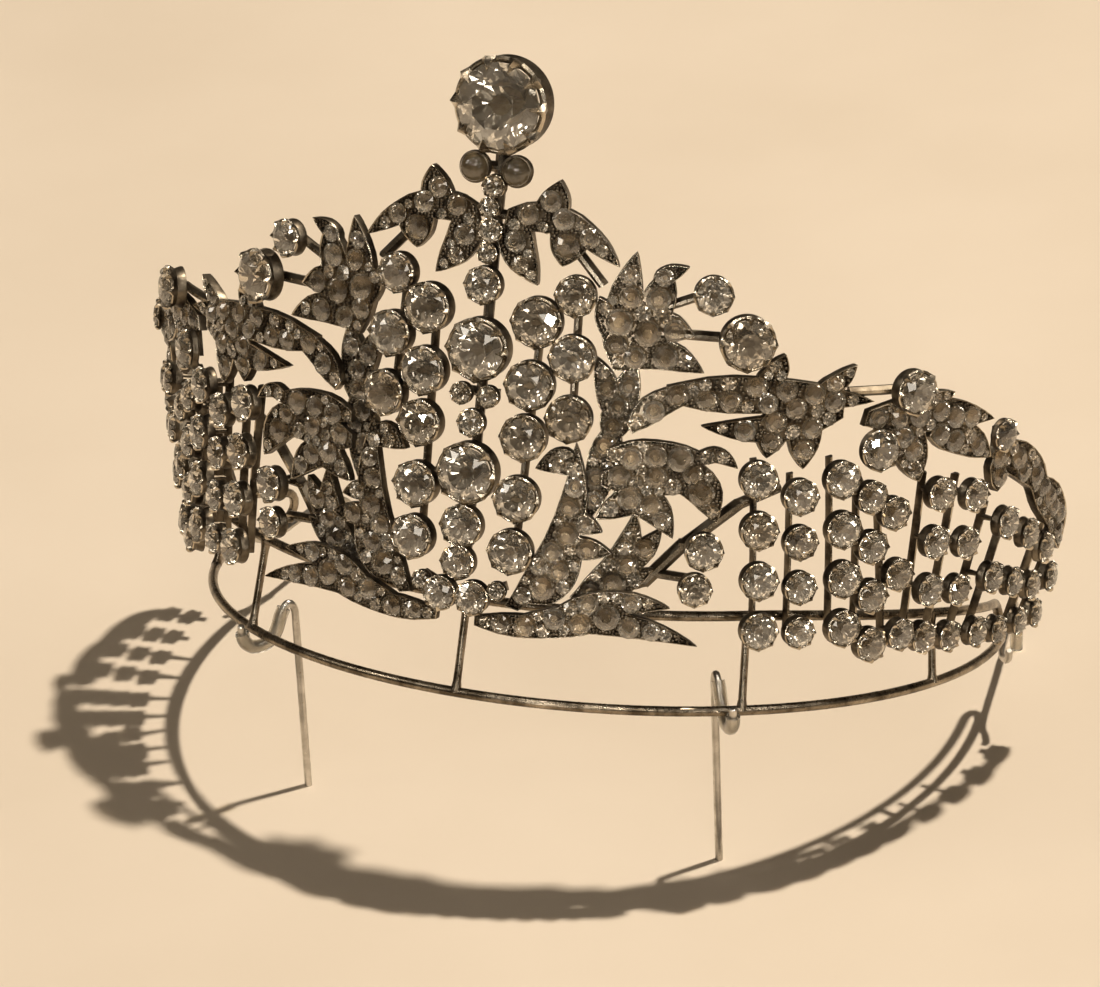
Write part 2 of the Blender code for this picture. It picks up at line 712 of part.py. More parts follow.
def build_strings(material):
    for name, u1, v1, u2, v2, count, first, last, level in STRINGS:
        slope = (u2 - u1) / (v1 - v2)
        wire = bar_outline((u1 - 2.6 * slope, v1 + 2.6), (u2 + 1.2 * slope, v2 - 1.2), 1.2)
        bottom = -PLATE + LEVEL_STEP * (level - 1)
        cup = 1.6 - bottom - PLATE
        stones = []
        for k in range(count):
            share = k / (count - 1)
            size = first + (last - first) * share
            stones.append((u1 + (u2 - u1) * share, v1 + (v2 - v1) * share, size, FOOT, cup))
        for side, mirror in sides():
            sheet_solid(name + "_" + side, [wire], stones, bottom, 0.0, (u1, v1), material, mirror)


def build_large_strings(material):
    for name, u_high, u_low in LARGE_LINES:
        rows = [row[1:] for row in LARGE if row[0] == name]

        def across(v):
            return u_low + (u_high - u_low) * (v - 40.0) / 20.0

        top = rows[0][0] + 1.4
        foot = rows[-1][0] - 1.4
        wire = bar_outline((across(top), top), (across(foot), foot), 1.4)
        stones = [(across(v), v, size, FOOT, 3.1) for v, size in rows]
        for side, mirror in sides():
            sheet_solid(name + "_" + side, [wire], stones, -2.7, 0.0, (across(top), top), material, mirror)


def build_centre_strings(material):
    drop = [bar_outline((0.0, 58.0), (0.0, 77.2), 1.4), bar_outline((-2.9, 73.9), (2.9, 73.9), 1.4)]
    stones = [(0.0, 63.6, 5.2, FOOT, 3.1), (0.0, 68.4, 2.8, FOOT, 2.4)]
    sheet_solid("centre_drop", drop, stones, -2.7, 0.0, (0.0, 60.4), material, False)
    bud = [bar_outline((0.0, 38.6), (0.0, 50.0), 1.4), bar_outline((-2.7, 46.8), (2.7, 46.8), 1.4)]
    stones = [(-1.9, 46.8, 3.0, FOOT, 2.4), (1.9, 46.8, 3.0, FOOT, 2.4), (0.0, 42.6, 3.8, FOOT, 2.8)]
    sheet_solid("centre_bud", bud, stones, -2.7, 0.0, (0.0, 42.0), material, False)
    tail = [bar_outline((0.0, 18.2), (0.0, 30.8), 1.4)]
    stones = [(0.0, 26.8, 5.9, FOOT, 3.1), (0.0, 21.2, 4.8, FOOT, 3.1)]
    sheet_solid("centre_tail", tail, stones, -2.7, 0.0, (0.0, 20.0), material, False)
    foot = [bar_outline((-6.8, 17.7), (0.0, 15.0), 1.4), bar_outline((0.0, 15.0), (6.8, 17.7), 1.4)]
    stones = [(-2.5, 15.99, 4.8, FOOT, 3.1), (2.5, 15.99, 4.8, FOOT, 3.1)]
    stones += [(-5.9, 17.34, 2.6, FOOT, 2.3), (5.9, 17.34, 2.6, FOOT, 2.3)]
    sheet_solid("foot_pair", foot, stones, -3.0, 0.0, (0.0, 15.4), material, False)


def ball(centre, radius, sides_round):
    rows = 5
    points = [centre + Vector((0.0, 0.0, radius))]
    faces = []
    for row in range(1, rows):
        high = math.pi * row / rows
        for k in range(sides_round):
            turn = 2 * math.pi * k / sides_round
            flat = radius * math.sin(high)
            points.append(centre + Vector((flat * math.cos(turn), flat * math.sin(turn), radius * math.cos(high))))
    points.append(centre - Vector((0.0, 0.0, radius)))
    last = len(points) - 1
    for k in range(sides_round):
        beside = (k + 1) % sides_round
        faces.append([0, 1 + k, 1 + beside])
        for row in range(rows - 2):
            low = 1 + row * sides_round
            high = low + sides_round
            faces.append([low + k, high + k, high + beside, low + beside])
        tail = 1 + (rows - 2) * sides_round
        faces.append([tail + k, last, tail + beside])
    return points, faces


def build_smooth_pair(metal):
    bars = [bar_outline((0.0, 77.6), (0.0, 84.5), 1.8), bar_outline((-2.5, 80.9), (2.5, 80.9), 1.6)]
    stones = [(0.0, 78.4, 3.2, FOOT, 2.2)]
    holder = sheet_solid("smooth_pair", bars, stones, -2.7, 0.0, (0.0, 80.0), metal, False)
    balls = []
    for u in (-2.7, 2.7):
        points, faces = ball(on_surface(u, 81.0, 0.1), 2.45, 12)
        balls.append(add_solid("ball", points, faces, metal))
    join_solids(holder, balls)
    for face in holder.data.polygons:
        face.material_index = 0


def add_wire(number, path, radii, first, material):
    points, faces = tube(path, radii, 6, [first] * len(path), False)
    add_solid("stand_leg_%d" % number, points, orient(points, faces), material)


def build_legs(material):
    for number, angle in enumerate(FRONT_LEGS):
        turn = math.radians(angle)
        rail = tilt(RAIL_RADIUS * math.sin(turn), -RAIL_RADIUS * math.cos(turn), 0.0)
        outward = Vector((math.sin(turn), -math.cos(turn), 0.0))
        path = []
        for out, high, half in FRONT_HOOK:
            point = rail + outward * out
            point.z = 0.0 if high is None else rail.z + high
            path.append(point)
        radii = [half for out, high, half in FRONT_HOOK]
        add_wire(number + 1, path, radii, Vector((0.0, 0.0, 1.0)).cross(outward), material)
    for number, angle in enumerate(REAR_LEGS):
        turn = math.radians(angle)
        rail = tilt(RAIL_RADIUS * math.sin(turn), -RAIL_RADIUS * math.cos(turn), 0.0)
        side = math.copysign(1.0, angle)
        path = [Vector((rail.x + side * out, rail.y + back, high)) for out, back, high, half in REAR_HOOK]
        radii = [half for out, back, high, half in REAR_HOOK]
        add_wire(number + 3, path, radii, Vector((1.0, 0.0, 0.0)), material)


def main():
    clear_scene()
    metal = paint("oxidised_silver", METAL, 0.9, 0.38)
    setting = paint("stones_in_silver", STONE, 0.2, 0.15)
    stone = paint("diamond", STONE, 0.0, 0.05)
    smooth = paint("smooth_stones", SMOOTH, 0.2, 0.2)
    wire = paint("stand_wire", WIRE, 0.8, 0.35)
    build_frame(metal)
    build_leaves(setting)
    build_strings(setting)
    build_large_strings(setting)
    build_centre_strings(setting)
    build_smooth_pair(smooth)
    for name, v, size, claws in CENTRE:
        build_centre(name, v, size, claws, metal, stone)
    build_legs(wire)


main()
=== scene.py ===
"""Dresses the diamond tiara and its wire stand for the render. Lengths in the tables are millimetres."""
import math
import bpy
import numpy as np
from mathutils import Euler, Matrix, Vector
from mathutils.geometry import delaunay_2d_cdt


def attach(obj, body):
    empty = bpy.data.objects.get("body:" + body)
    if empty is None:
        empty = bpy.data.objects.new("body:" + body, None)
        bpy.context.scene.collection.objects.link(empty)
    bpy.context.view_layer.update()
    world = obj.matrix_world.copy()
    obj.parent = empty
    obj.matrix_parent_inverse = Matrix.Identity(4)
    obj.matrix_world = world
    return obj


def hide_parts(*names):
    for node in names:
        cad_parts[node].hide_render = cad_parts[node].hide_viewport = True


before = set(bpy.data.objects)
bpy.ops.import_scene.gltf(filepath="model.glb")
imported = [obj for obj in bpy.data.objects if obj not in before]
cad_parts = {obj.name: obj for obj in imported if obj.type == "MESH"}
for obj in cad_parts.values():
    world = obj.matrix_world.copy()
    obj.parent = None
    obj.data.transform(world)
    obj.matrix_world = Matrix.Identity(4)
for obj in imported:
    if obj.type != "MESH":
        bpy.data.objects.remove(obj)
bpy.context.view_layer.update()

MM = 0.001

# lean of the tiara, height of its lower rail's centre, and y of the box's middle in the tiara's own frame
PITCH = math.radians(15.0)
RAIL_LIFT = 17.5
CENTRE_Y = -15.80

# the curved face: u runs along a circle of this radius from the front, v is the height over the lower rail
PATTERN_RADIUS = 68.0
SIDE_START = 67.8
SIDE_SLOPE = 0.22
FRONT_START = 69.1
FRONT_SLOPE = -0.10
FLARE = 4.5
FLARE_FROM = math.radians(60.0)

# thickness of a plate, and the distance from one level of plates to the next
PLATE = 1.2
LEVEL_STEP = 1.5

# the rails: radius of the lower one, radii and front height of the upper one, angles in degrees
RAIL_RADIUS = 66.0
UPPER_FRONT = 63.2
UPPER_SIDE = 64.6
UPPER_HEIGHT = 14.5
END_ANGLE = 99.0
POST_ANGLES = (-72.0, -39.0, 0.0, 39.0, 72.0)

RAIL_WIRE = 0.8
WIRE_RADIUS = 0.62
SLEEVE_RADIUS = 1.12

# measured outward from the curved face: bottoms of the centre's bars, girdles of the large stones
BAR_BOTTOM = -2.7
FOOT_BAR_BOTTOM = -3.0
GIRDLE_OUT = 1.6

# stones of the leaves: sizes tried in turn, step and gap between places, most grains of silver, and how much
# wider a stone is than its place, so that stones sit close
FILL_SIZES = (3.0, 2.75, 2.5, 2.25, 2.0, 1.75, 1.5, 1.3)
FILL_STEP = 0.24
FILL_GAP = 0.08
MOST_GRAINS = 90
LEAF_STONE_SCALE = 1.15

# tint of the three large stones, from 0 for the deepest to 1 for the clearest
LARGE_STONE_TONE = 0.8

# faces that meet at more than this angle, in radians, keep a sharp edge
SMOOTH_ANGLE = 0.6

# metres, degrees, and millimetres of focal length on a 36 mm sensor
CAMERA_PLACE = (0.24731, -0.59042, 0.38896)
CAMERA_DEGREES = (61.7054, 2.3181, 21.7325)
CAMERA_LENS = 147.27

# numbers of the materials that a face can have; the bed is the metal under the stones of a leaf
SILVER = 0
POLISH = 1
STONE = 2
SMOOTH = 3
BED = 4

# leaf, level of the plate (1 is the front one), outward curl at the tips
LEAVES = [
    ("crest", 1, 0.6),
    ("upper_leaf", 1, 0.8),
    ("neck_leaf", 0, 0.0),
    ("long_leaf", 1, 0.6),
    ("middle_leaf", 1, 0.8),
    ("inner_leaf", 1, 0.6),
    ("lower_leaf", 0, 0.0),
    ("bottom_leaf", 1, 0.6),
    ("stem", -1, 0.0),
    ("far_leaf", 1, 0.5),
    ("end_leaf", 1, 0.5),
]

# leaf, root u, root v, tip u, tip v, sideways bow, width
LOBES = [
    ("crest", 6.4, 72.4, 8.3, 80.5, -0.3, 4.6),
    ("crest", 1.9, 74.4, 11.8, 73.2, 0.6, 4.4),
    ("crest", 7.2, 76.2, 17.0, 68.5, 0.4, 3.4),
    ("crest", 3.0, 74.4, 6.9, 64.4, -1.1, 4.8),
    ("crest", 10.2, 74.6, 9.8, 67.6, 0.2, 5.2),
    ("upper_leaf", 19.2, 52.9, 18.9, 71.0, 0.8, 5.2),
    ("upper_leaf", 19.8, 57.0, 14.9, 63.7, 0.5, 4.2),
    ("upper_leaf", 20.8, 58.0, 23.2, 69.2, -0.4, 5.0),
    ("upper_leaf", 21.8, 65.8, 25.7, 69.4, 0.7, 2.8),
    ("upper_leaf", 20.4, 58.6, 28.0, 58.9, 1.3, 4.8),
    ("upper_leaf", 18.6, 54.8, 30.0, 53.5, 1.6, 4.8),
    ("neck_leaf", 19.0, 41.6, 20.8, 54.2, 0.0, 4.8),
    ("neck_leaf", 18.7, 45.4, 15.5, 54.2, -0.4, 3.4),
    ("neck_leaf", 19.1, 44.0, 17.8, 29.4, 0.0, 4.8),
    ("long_leaf", 21.4, 44.2, 31.0, 50.8, 1.4, 4.2),
    ("long_leaf", 25.4, 49.9, 54.6, 49.8, 0.6, 5.8),
    ("long_leaf", 38.0, 51.4, 40.4, 56.9, -0.4, 3.8),
    ("long_leaf", 46.0, 51.2, 50.7, 55.5, -0.6, 3.2),
    ("long_leaf", 50.4, 48.2, 31.0, 45.3, 1.4, 4.6),
    ("long_leaf", 40.6, 48.0, 40.8, 40.8, 0.3, 4.8),
    ("long_leaf", 44.4, 48.6, 46.4, 39.2, 0.3, 5.0),
    ("middle_leaf", 18.9, 40.0, 34.0, 40.0, 0.7, 4.2),
    ("middle_leaf", 18.7, 36.3, 33.4, 36.2, 0.5, 5.2),
    ("middle_leaf", 27.2, 38.4, 35.6, 30.6, 1.9, 5.4),
    ("middle_leaf", 20.6, 34.0, 29.9, 28.0, 1.9, 4.8),
    ("middle_leaf", 26.4, 34.0, 18.7, 30.1, -0.7, 4.2),
    ("middle_leaf", 31.0, 40.8, 37.0, 39.2, 1.0, 2.4),
    ("inner_leaf", 8.4, 15.0, 14.6, 41.4, -3.3, 5.0),
    ("inner_leaf", 15.8, 37.6, 9.5, 36.9, -1.2, 4.2),
    ("inner_leaf", 13.6, 29.0, 20.0, 28.1, 0.6, 3.4),
    ("inner_leaf", 13.2, 25.0, 21.8, 25.0, 0.3, 3.8),
    ("inner_leaf", 10.4, 16.8, 17.6, 23.8, -0.9, 4.8),
    ("lower_leaf", 17.6, 16.8, 24.2, 31.4, -2.6, 5.2),
    ("lower_leaf", 22.6, 21.6, 28.4, 28.8, -0.6, 3.8),
    ("lower_leaf", 19.6, 18.2, 28.2, 22.6, -0.5, 3.6),
    ("bottom_leaf", 3.0, 12.4, 24.0, 13.7, -0.4, 3.6),
    ("bottom_leaf", 9.0, 12.9, 36.5, 11.3, 2.2, 4.2),
    ("bottom_leaf", 14.8, 14.8, 31.4, 17.1, 1.4, 4.0),
    ("far_leaf", 54.2, 47.0, 77.4, 45.6, 0.9, 5.8),
    ("far_leaf", 62.0, 46.6, 68.2, 50.6, 0.5, 3.6),
    ("far_leaf", 60.0, 45.6, 66.0, 36.4, 0.5, 5.6),
    ("far_leaf", 66.0, 44.6, 79.0, 39.2, 0.8, 5.4),
    ("end_leaf", 80.0, 40.2, 97.6, 30.0, 1.4, 5.6),
    ("end_leaf", 81.4, 39.8, 83.6, 32.8, 0.4, 4.8),
    ("end_leaf", 92.6, 33.2, 109.4, 18.6, 1.3, 5.6),
]

# piece, start u, start v, end u, end v, width of a plain stalk
STALKS = [
    ("crest", 11.0, 70.4, 15.2, 65.3, 1.4),
    ("upper_leaf", 23.8, 63.0, 30.2, 66.1, 1.4),
    ("upper_leaf", 22.8, 59.0, 35.6, 58.8, 1.5),
    ("long_leaf", 50.8, 51.0, 61.0, 51.4, 1.5),
    ("stem", 20.6, 17.8, 27.8, 20.4, 2.2),
    ("stem", 27.2, 19.8, 32.2, 26.0, 2.2),
    ("stem", 31.8, 25.5, 39.4, 32.6, 2.0),
    ("stem", 39.0, 32.4, 45.2, 35.4, 1.8),
    ("stem", 28.6, 21.4, 35.4, 20.6, 1.4),
    ("stem", 31.4, 26.2, 35.8, 26.2, 1.4),
    ("far_leaf", 57.2, 47.0, 57.2, 41.2, 1.4),
    ("end_leaf", 81.0, 40.2, 80.0, 44.0, 1.4),
    ("end_leaf", 100.4, 26.0, 102.0, 6.4, 1.4),
    ("end_leaf", 107.8, 19.8, 108.8, 6.0, 1.4),
]

# leaf, u, v and size of its main small stones; the room between them is filled afterwards
MAIN_STONES = [
    ("crest", 6.7, 73.2, 4.2),
    ("crest", 7.4, 77.2, 2.9),
    ("crest", 3.4, 70.6, 3.0),
    ("crest", 4.3, 67.2, 3.2),
    ("crest", 10.0, 70.6, 3.6),
    ("upper_leaf", 18.0, 60.2, 3.7),
    ("upper_leaf", 21.8, 58.9, 3.6),
    ("upper_leaf", 22.5, 64.2, 3.3),
    ("upper_leaf", 24.6, 55.4, 3.4),
    ("neck_leaf", 19.4, 47.0, 2.8),
    ("long_leaf", 27.0, 49.6, 3.0),
    ("long_leaf", 40.4, 53.6, 3.0),
    ("long_leaf", 48.2, 52.6, 2.6),
    ("middle_leaf", 29.0, 40.2, 3.5),
    ("middle_leaf", 28.6, 35.9, 3.8),
    ("middle_leaf", 32.8, 35.0, 3.6),
    ("middle_leaf", 23.0, 33.6, 3.3),
    ("inner_leaf", 12.4, 37.7, 3.4),
    ("inner_leaf", 14.8, 31.4, 3.6),
    ("inner_leaf", 15.0, 27.2, 3.3),
    ("inner_leaf", 12.6, 18.8, 3.5),
    ("lower_leaf", 22.6, 19.9, 3.6),
    ("lower_leaf", 24.4, 27.6, 2.8),
    ("bottom_leaf", 22.5, 15.2, 3.6),
    ("bottom_leaf", 26.2, 15.3, 3.0),
    ("bottom_leaf", 31.2, 14.1, 2.8),
    ("far_leaf", 63.0, 47.4, 3.6),
    ("far_leaf", 69.6, 46.6, 3.2),
    ("far_leaf", 70.8, 42.6, 3.2),
    ("far_leaf", 63.6, 41.6, 3.2),
    ("end_leaf", 86.6, 38.0, 3.4),
    ("end_leaf", 92.6, 34.4, 3.4),
    ("end_leaf", 98.6, 29.8, 3.2),
]

# piece, stone u, stone v, size, height of the cup over the plate
CUPS = [
    ("upper_leaf", 29.2, 65.65, 5.3, 2.6),
    ("upper_leaf", 34.6, 58.8, 7.6, 3.2),
    ("long_leaf", 60.0, 51.4, 6.2, 2.8),
    ("stem", 34.6, 26.2, 5.2, 4.4),
    ("stem", 34.4, 20.2, 4.6, 4.4),
    ("far_leaf", 57.2, 42.2, 5.8, 1.8),
    ("end_leaf", 80.3, 42.7, 4.6, 1.4),
    ("end_leaf", 100.82, 20.8, 4.5, 1.8),
    ("end_leaf", 101.36, 14.2, 4.4, 1.8),
    ("end_leaf", 101.89, 7.8, 4.2, 1.8),
    ("end_leaf", 108.2, 14.2, 4.4, 1.8),
    ("end_leaf", 108.68, 7.6, 4.2, 1.8),
]

# string, top u, top v, bottom u, bottom v, stones, top size, bottom size, level
STRINGS = [
    ("string_a", 40.2, 37.6, 45.2, 13.8, 4, 5.2, 5.2, 0.0),
    ("string_b", 46.8, 35.0, 51.6, 13.4, 4, 5.0, 4.4, -1.0),
    ("string_c", 52.6, 37.6, 59.0, 13.6, 4, 5.2, 5.2, -1.0),
    ("string_d", 58.0, 34.6, 64.8, 10.4, 4, 4.6, 4.9, -1.0),
    ("string_e", 62.6, 31.8, 70.2, 11.4, 3, 4.7, 4.5, -1.0),
    ("string_f", 70.4, 34.2, 75.4, 10.2, 4, 4.8, 4.6, -1.0),
    ("string_g", 77.6, 33.2, 81.4, 9.4, 4, 4.7, 4.4, -1.0),
    ("string_h", 87.2, 27.4, 88.6, 8.8, 3, 4.7, 4.4, -1.2),
    ("string_i", 94.2, 24.4, 95.2, 7.8, 3, 4.5, 4.2, -1.3),
]

# string, v and size of each large stone
LARGE = [
    ("inner_string", 59.0, 7.0),
    ("inner_string", 49.4, 6.8),
    ("inner_string", 41.4, 6.4),
    ("inner_string", 32.0, 6.4),
    ("inner_string", 23.9, 6.2),
    ("outer_string", 63.6, 5.6),
    ("outer_string", 54.2, 6.4),
    ("outer_string", 45.0, 6.4),
]

# string, u at v 60, u at v 40
LARGE_LINES = [
    ("inner_string", 7.5, 7.5),
    ("outer_string", 12.3, 13.6),
]

# node, bar start u, v, end u, v, width
CENTRE_BARS = [
    ("centre_drop", 0.0, 58.0, 0.0, 77.2, 1.4),
    ("centre_drop", -2.9, 73.9, 2.9, 73.9, 1.4),
    ("centre_bud", 0.0, 38.6, 0.0, 50.0, 1.4),
    ("centre_bud", -2.7, 46.8, 2.7, 46.8, 1.4),
    ("centre_tail", 0.0, 18.2, 0.0, 30.8, 1.4),
    ("foot_pair", -6.8, 17.7, 0.0, 15.0, 1.4),
    ("foot_pair", 0.0, 15.0, 6.8, 17.7, 1.4),
    ("smooth_pair", 0.0, 77.6, 0.0, 84.5, 1.8),
    ("smooth_pair", -2.5, 80.9, 2.5, 80.9, 1.6),
]

# node, stone u, stone v, size, height of the cup over the bar
CENTRE_CUPS = [
    ("centre_drop", 0.0, 63.6, 5.2, 3.1),
    ("centre_drop", 0.0, 68.4, 2.8, 2.4),
    ("centre_drop", 0.2, 71.8, 3.4, 2.6),
    ("centre_drop", -0.3, 75.2, 2.8, 2.3),
    ("centre_bud", -1.9, 46.8, 3.0, 2.4),
    ("centre_bud", 1.9, 46.8, 3.0, 2.4),
    ("centre_bud", 0.0, 42.6, 3.8, 2.8),
    ("centre_tail", 0.0, 26.8, 5.9, 3.1),
    ("centre_tail", 0.0, 21.2, 4.8, 3.1),
    ("foot_pair", -2.5, 15.99, 4.8, 3.1),
    ("foot_pair", 2.5, 15.99, 4.8, 3.1),
    ("foot_pair", -5.9, 17.34, 2.6, 2.3),
    ("foot_pair", 5.9, 17.34, 2.6, 2.3),
    ("smooth_pair", 0.0, 78.4, 3.2, 2.2),
]

# place of each small light that the facets and edges catch, in metres
SPARKLES = [
    (0.55, -0.75, 0.95),
    (0.05, -0.90, 0.80),
    (-0.45, -0.80, 1.05),
    (0.95, -0.20, 0.70),
    (1.00, -0.70, 0.45),
    (0.35, -0.35, 1.30),
    (-0.10, -0.20, 1.35),
    (-0.75, -0.30, 0.90),
    (0.15, -1.15, 0.35),
    (0.75, 0.20, 1.10),
]

# setting, v of the stone, size of the stone, claws
CENTRE = [
    ("top", 90.7, 13.4, 10),
    ("upper_centre", 53.8, 8.8, 8),
    ("lower_centre", 34.9, 8.6, 8),
]

FRONT_LEGS = [-37.0, 37.0]
REAR_LEGS = [-97.0, 97.0]

# distance outward of the rail, height over its line (none on the first row: the floor)
FRONT_HOOK = [
    (-6.7, None),
    (-6.7, 1.6),
    (-6.3, 2.9),
    (-5.5, 3.4),
    (-4.7, 2.8),
    (-4.0, 1.4),
    (-3.2, -0.6),
    (-2.1, -2.0),
    (-0.4, -2.6),
    (1.4, -2.2),
    (2.6, -0.9),
    (3.0, 0.8),
    (3.0, 2.2),
]

# distance outward of the rail's end, distance behind it, height over the floor
REAR_HOOK = [
    (-4.0, 24.0, 0.0),
    (-4.0, 24.0, 5.5),
    (-3.6, 22.0, 9.6),
    (-2.2, 16.0, 12.2),
    (0.0, 2.0, 12.9),
    (1.6, -1.6, 13.3),
    (2.6, -3.2, 14.6),
    (2.9, -3.8, 16.4),
]


def tilt(x, y, z):
    """Points of the tiara's own upright frame, carried to where it leans on its stand, in metres."""
    back = y * math.cos(PITCH) + z * math.sin(PITCH)
    high = z * math.cos(PITCH) - y * math.sin(PITCH)
    return np.stack([x, back - CENTRE_Y, high + RAIL_LIFT], -1) * MM


def surf(u, v, off):
    """Points of the flat pattern carried to the tiara's curved face, in metres."""
    u, v, off = np.broadcast_arrays(np.asarray(u, float), np.asarray(v, float), np.asarray(off, float))
    angle = u / PATTERN_RADIUS
    side = SIDE_START + SIDE_SLOPE * v + off
    front = FRONT_START + FRONT_SLOPE * v + off
    past = np.maximum(0.0, np.abs(angle) - FLARE_FROM) / math.radians(35.0)
    spread = np.sign(angle) * FLARE * past ** 2 * np.minimum(1.0, (v + 8.0) / 34.0)
    return tilt(side * np.sin(angle) + spread, -front * np.cos(angle), v)


def frame_at(u, v, off):
    """Origin in metres and the three directions right, up and outward of the face at one point."""
    origin = surf(u, v, off)
    out = surf(u, v, off + 1.0) - origin
    out /= np.linalg.norm(out)
    right = surf(u + 0.5, v, off) - surf(u - 0.5, v, off)
    right -= out * right.dot(out)
    right /= np.linalg.norm(right)
    return origin, right, np.cross(out, right), out


def centre_frame(v, off):
    origin = tilt(0.0, -(FRONT_START + FRONT_SLOPE * v + off), v)
    right = np.array([1.0, 0.0, 0.0])
    up = np.array([0.0, math.sin(PITCH), math.cos(PITCH)])
    return origin, right, up, np.cross(right, up)


def placed(local, where):
    origin, right, up, out = where
    local = np.asarray(local) * MM
    return origin + local[:, :1] * right + local[:, 1:2] * up + local[:, 2:3] * out


class Shape:
    """Collects points and faces of one piece, each face with the number of its material."""

    def __init__(self):
        self.points = []
        self.faces = []
        self.kinds = []
        self.tones = []
        self.count = 0

    def add(self, points, faces, kinds, tone=0.5):
        base = self.count
        self.points.append(np.asarray(points, float))
        self.count += len(points)
        self.faces.extend([[index + base for index in face] for face in faces])
        self.kinds.extend(kinds if isinstance(kinds, list) else [kinds] * len(faces))
        self.tones.append(np.full(len(points), tone))

    def build(self, name, materials, slot, replaced, mirror=False):
        points = np.concatenate(self.points)
        faces = self.faces
        if mirror:
            points = points * np.array([-1.0, 1.0, 1.0])
            faces = [face[::-1] for face in faces]
        mesh = bpy.data.meshes.new(name)
        mesh.from_pydata(points.tolist(), [], faces)
        used = sorted(set(self.kinds))
        for kind in used:
            mesh.materials.append(materials[kind])
        place = {kind: number for number, kind in enumerate(used)}
        mesh.polygons.foreach_set("material_index", [place[kind] for kind in self.kinds])
        tone = mesh.attributes.new("tone", "FLOAT", "POINT")
        tone.data.foreach_set("value", np.concatenate(self.tones))
        mesh.update()
        mesh.set_sharp_from_angle(angle=SMOOTH_ANGLE)
        mesh.polygons.foreach_set("use_smooth", [kind != STONE for kind in self.kinds])
        item = bpy.data.objects.new(name, mesh)
        bpy.context.scene.collection.objects.link(item)
        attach(item, "root")
        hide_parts(replaced)


def outward(points, faces):
    volume = 0.0
    for face in faces:
        for k in range(1, len(face) - 1):
            volume += np.dot(points[face[0]], np.cross(points[face[k]], points[face[k + 1]]))
    return [face[::-1] for face in faces] if volume < 0 else faces


def ring(radius, out, sides, shift):
    turn = 2 * math.pi * (np.arange(sides) + shift) / sides
    return np.stack([radius * np.cos(turn), radius * np.sin(turn), np.full(sides, out)], 1)


def ring_faces(rows, count, closed):
    """Faces between each ring of points and the next, and from the last to the first if closed."""
    faces = []
    for row in range(rows if closed else rows - 1):
        ahead = (row + 1) % rows
        for k in range(count):
            beside = (k + 1) % count
            faces.append([row * count + k, row * count + beside, ahead * count + beside, ahead * count + k])
    return faces


def cut_stone(sides, culet, flat_radius, crown):
    """A round old-cut stone of size 1: table, star, kite and girdle facets, pavilion and open culet."""
    rings = [
        ring(flat_radius, crown, sides, 0.0),
        ring(flat_radius + 0.12, 0.6 * crown, sides, 0.5),
        ring(0.50, 0.02, 2 * sides, 0.0),
        ring(0.50, -0.02, 2 * sides, 0.0),
        ring(0.24, -0.27, sides, 0.5),
        ring(culet / 2, -0.42, sides, 0.0),
    ]
    points = np.concatenate(rings)
    starts = np.cumsum([0] + [len(r) for r in rings])
    table, star, high, low, lower, tip = [list(range(starts[k], starts[k + 1])) for k in range(6)]
    faces = [table[:], tip[::-1]]
    for k in range(sides):
        after = (k + 1) % sides
        faces.append([table[k], star[k], table[after]])
        faces.append([table[k], star[k - 1], high[2 * k], star[k]])
        faces.append([star[k], high[2 * k], high[2 * k + 1]])
        faces.append([star[k], high[2 * k + 1], high[(2 * k + 2) % (2 * sides)]])
        faces.append([tip[k], tip[after], lower[k]])
        faces.append([tip[k], lower[k], low[2 * k], lower[k - 1]])
        faces.append([lower[k], low[2 * k + 1], low[2 * k]])
        faces.append([lower[k], low[(2 * k + 2) % (2 * sides)], low[2 * k + 1]])
    for k in range(2 * sides):
        beside = (k + 1) % (2 * sides)
        faces.append([high[k], low[k], low[beside], high[beside]])
    return points, outward(points, faces)


def small_stone():
    """An eight-sided single cut of size 1 for the smallest stones."""
    rings = [ring(0.27, 0.18, 8, 0.0), ring(0.50, 0.0, 8, 0.0), ring(0.05, -0.36, 8, 0.0)]
    points = np.concatenate(rings)
    faces = [list(range(8)), list(range(16, 24))[::-1]]
    for k in range(8):
        beside = (k + 1) % 8
        faces.append([k, 8 + k, 8 + beside, beside])
        faces.append([8 + k, 16 + k, 16 + beside, 8 + beside])
    return points, outward(points, faces)


def bead():
    """A small domed grain of size 1."""
    rings = [ring(0.5, 0.0, 8, 0.0), ring(0.36, 0.26, 8, 0.0)]
    points = np.concatenate(rings + [np.array([[0.0, 0.0, 0.36]])])
    faces = []
    for k in range(8):
        beside = (k + 1) % 8
        faces.append([k, beside, 8 + beside, 8 + k])
        faces.append([8 + k, 8 + beside, 16])
    return points, faces


CUT = cut_stone(8, 0.07, 0.20, 0.23)
FINE_CUT = cut_stone(8, 0.10, 0.27, 0.17)
SINGLE = small_stone()
BEAD = bead()
chance = np.random.RandomState(11)


def put_stone(shape, where, size, model, spin, lean):
    """One stone, spun about its axis and leaning a little; both angles in radians."""
    c = math.cos(spin)
    s = math.sin(spin)
    turn = np.array([[c, -s, 0.0], [s, c, 0.0], [0.0, 0.0, 1.0]])
    c = math.cos(lean)
    s = math.sin(lean)
    tip = np.array([[1.0, 0.0, 0.0], [0.0, c, -s], [0.0, s, c]])
    shape.add(placed(model[0] * size @ turn.T @ tip.T, where), model[1], STONE, chance.rand())


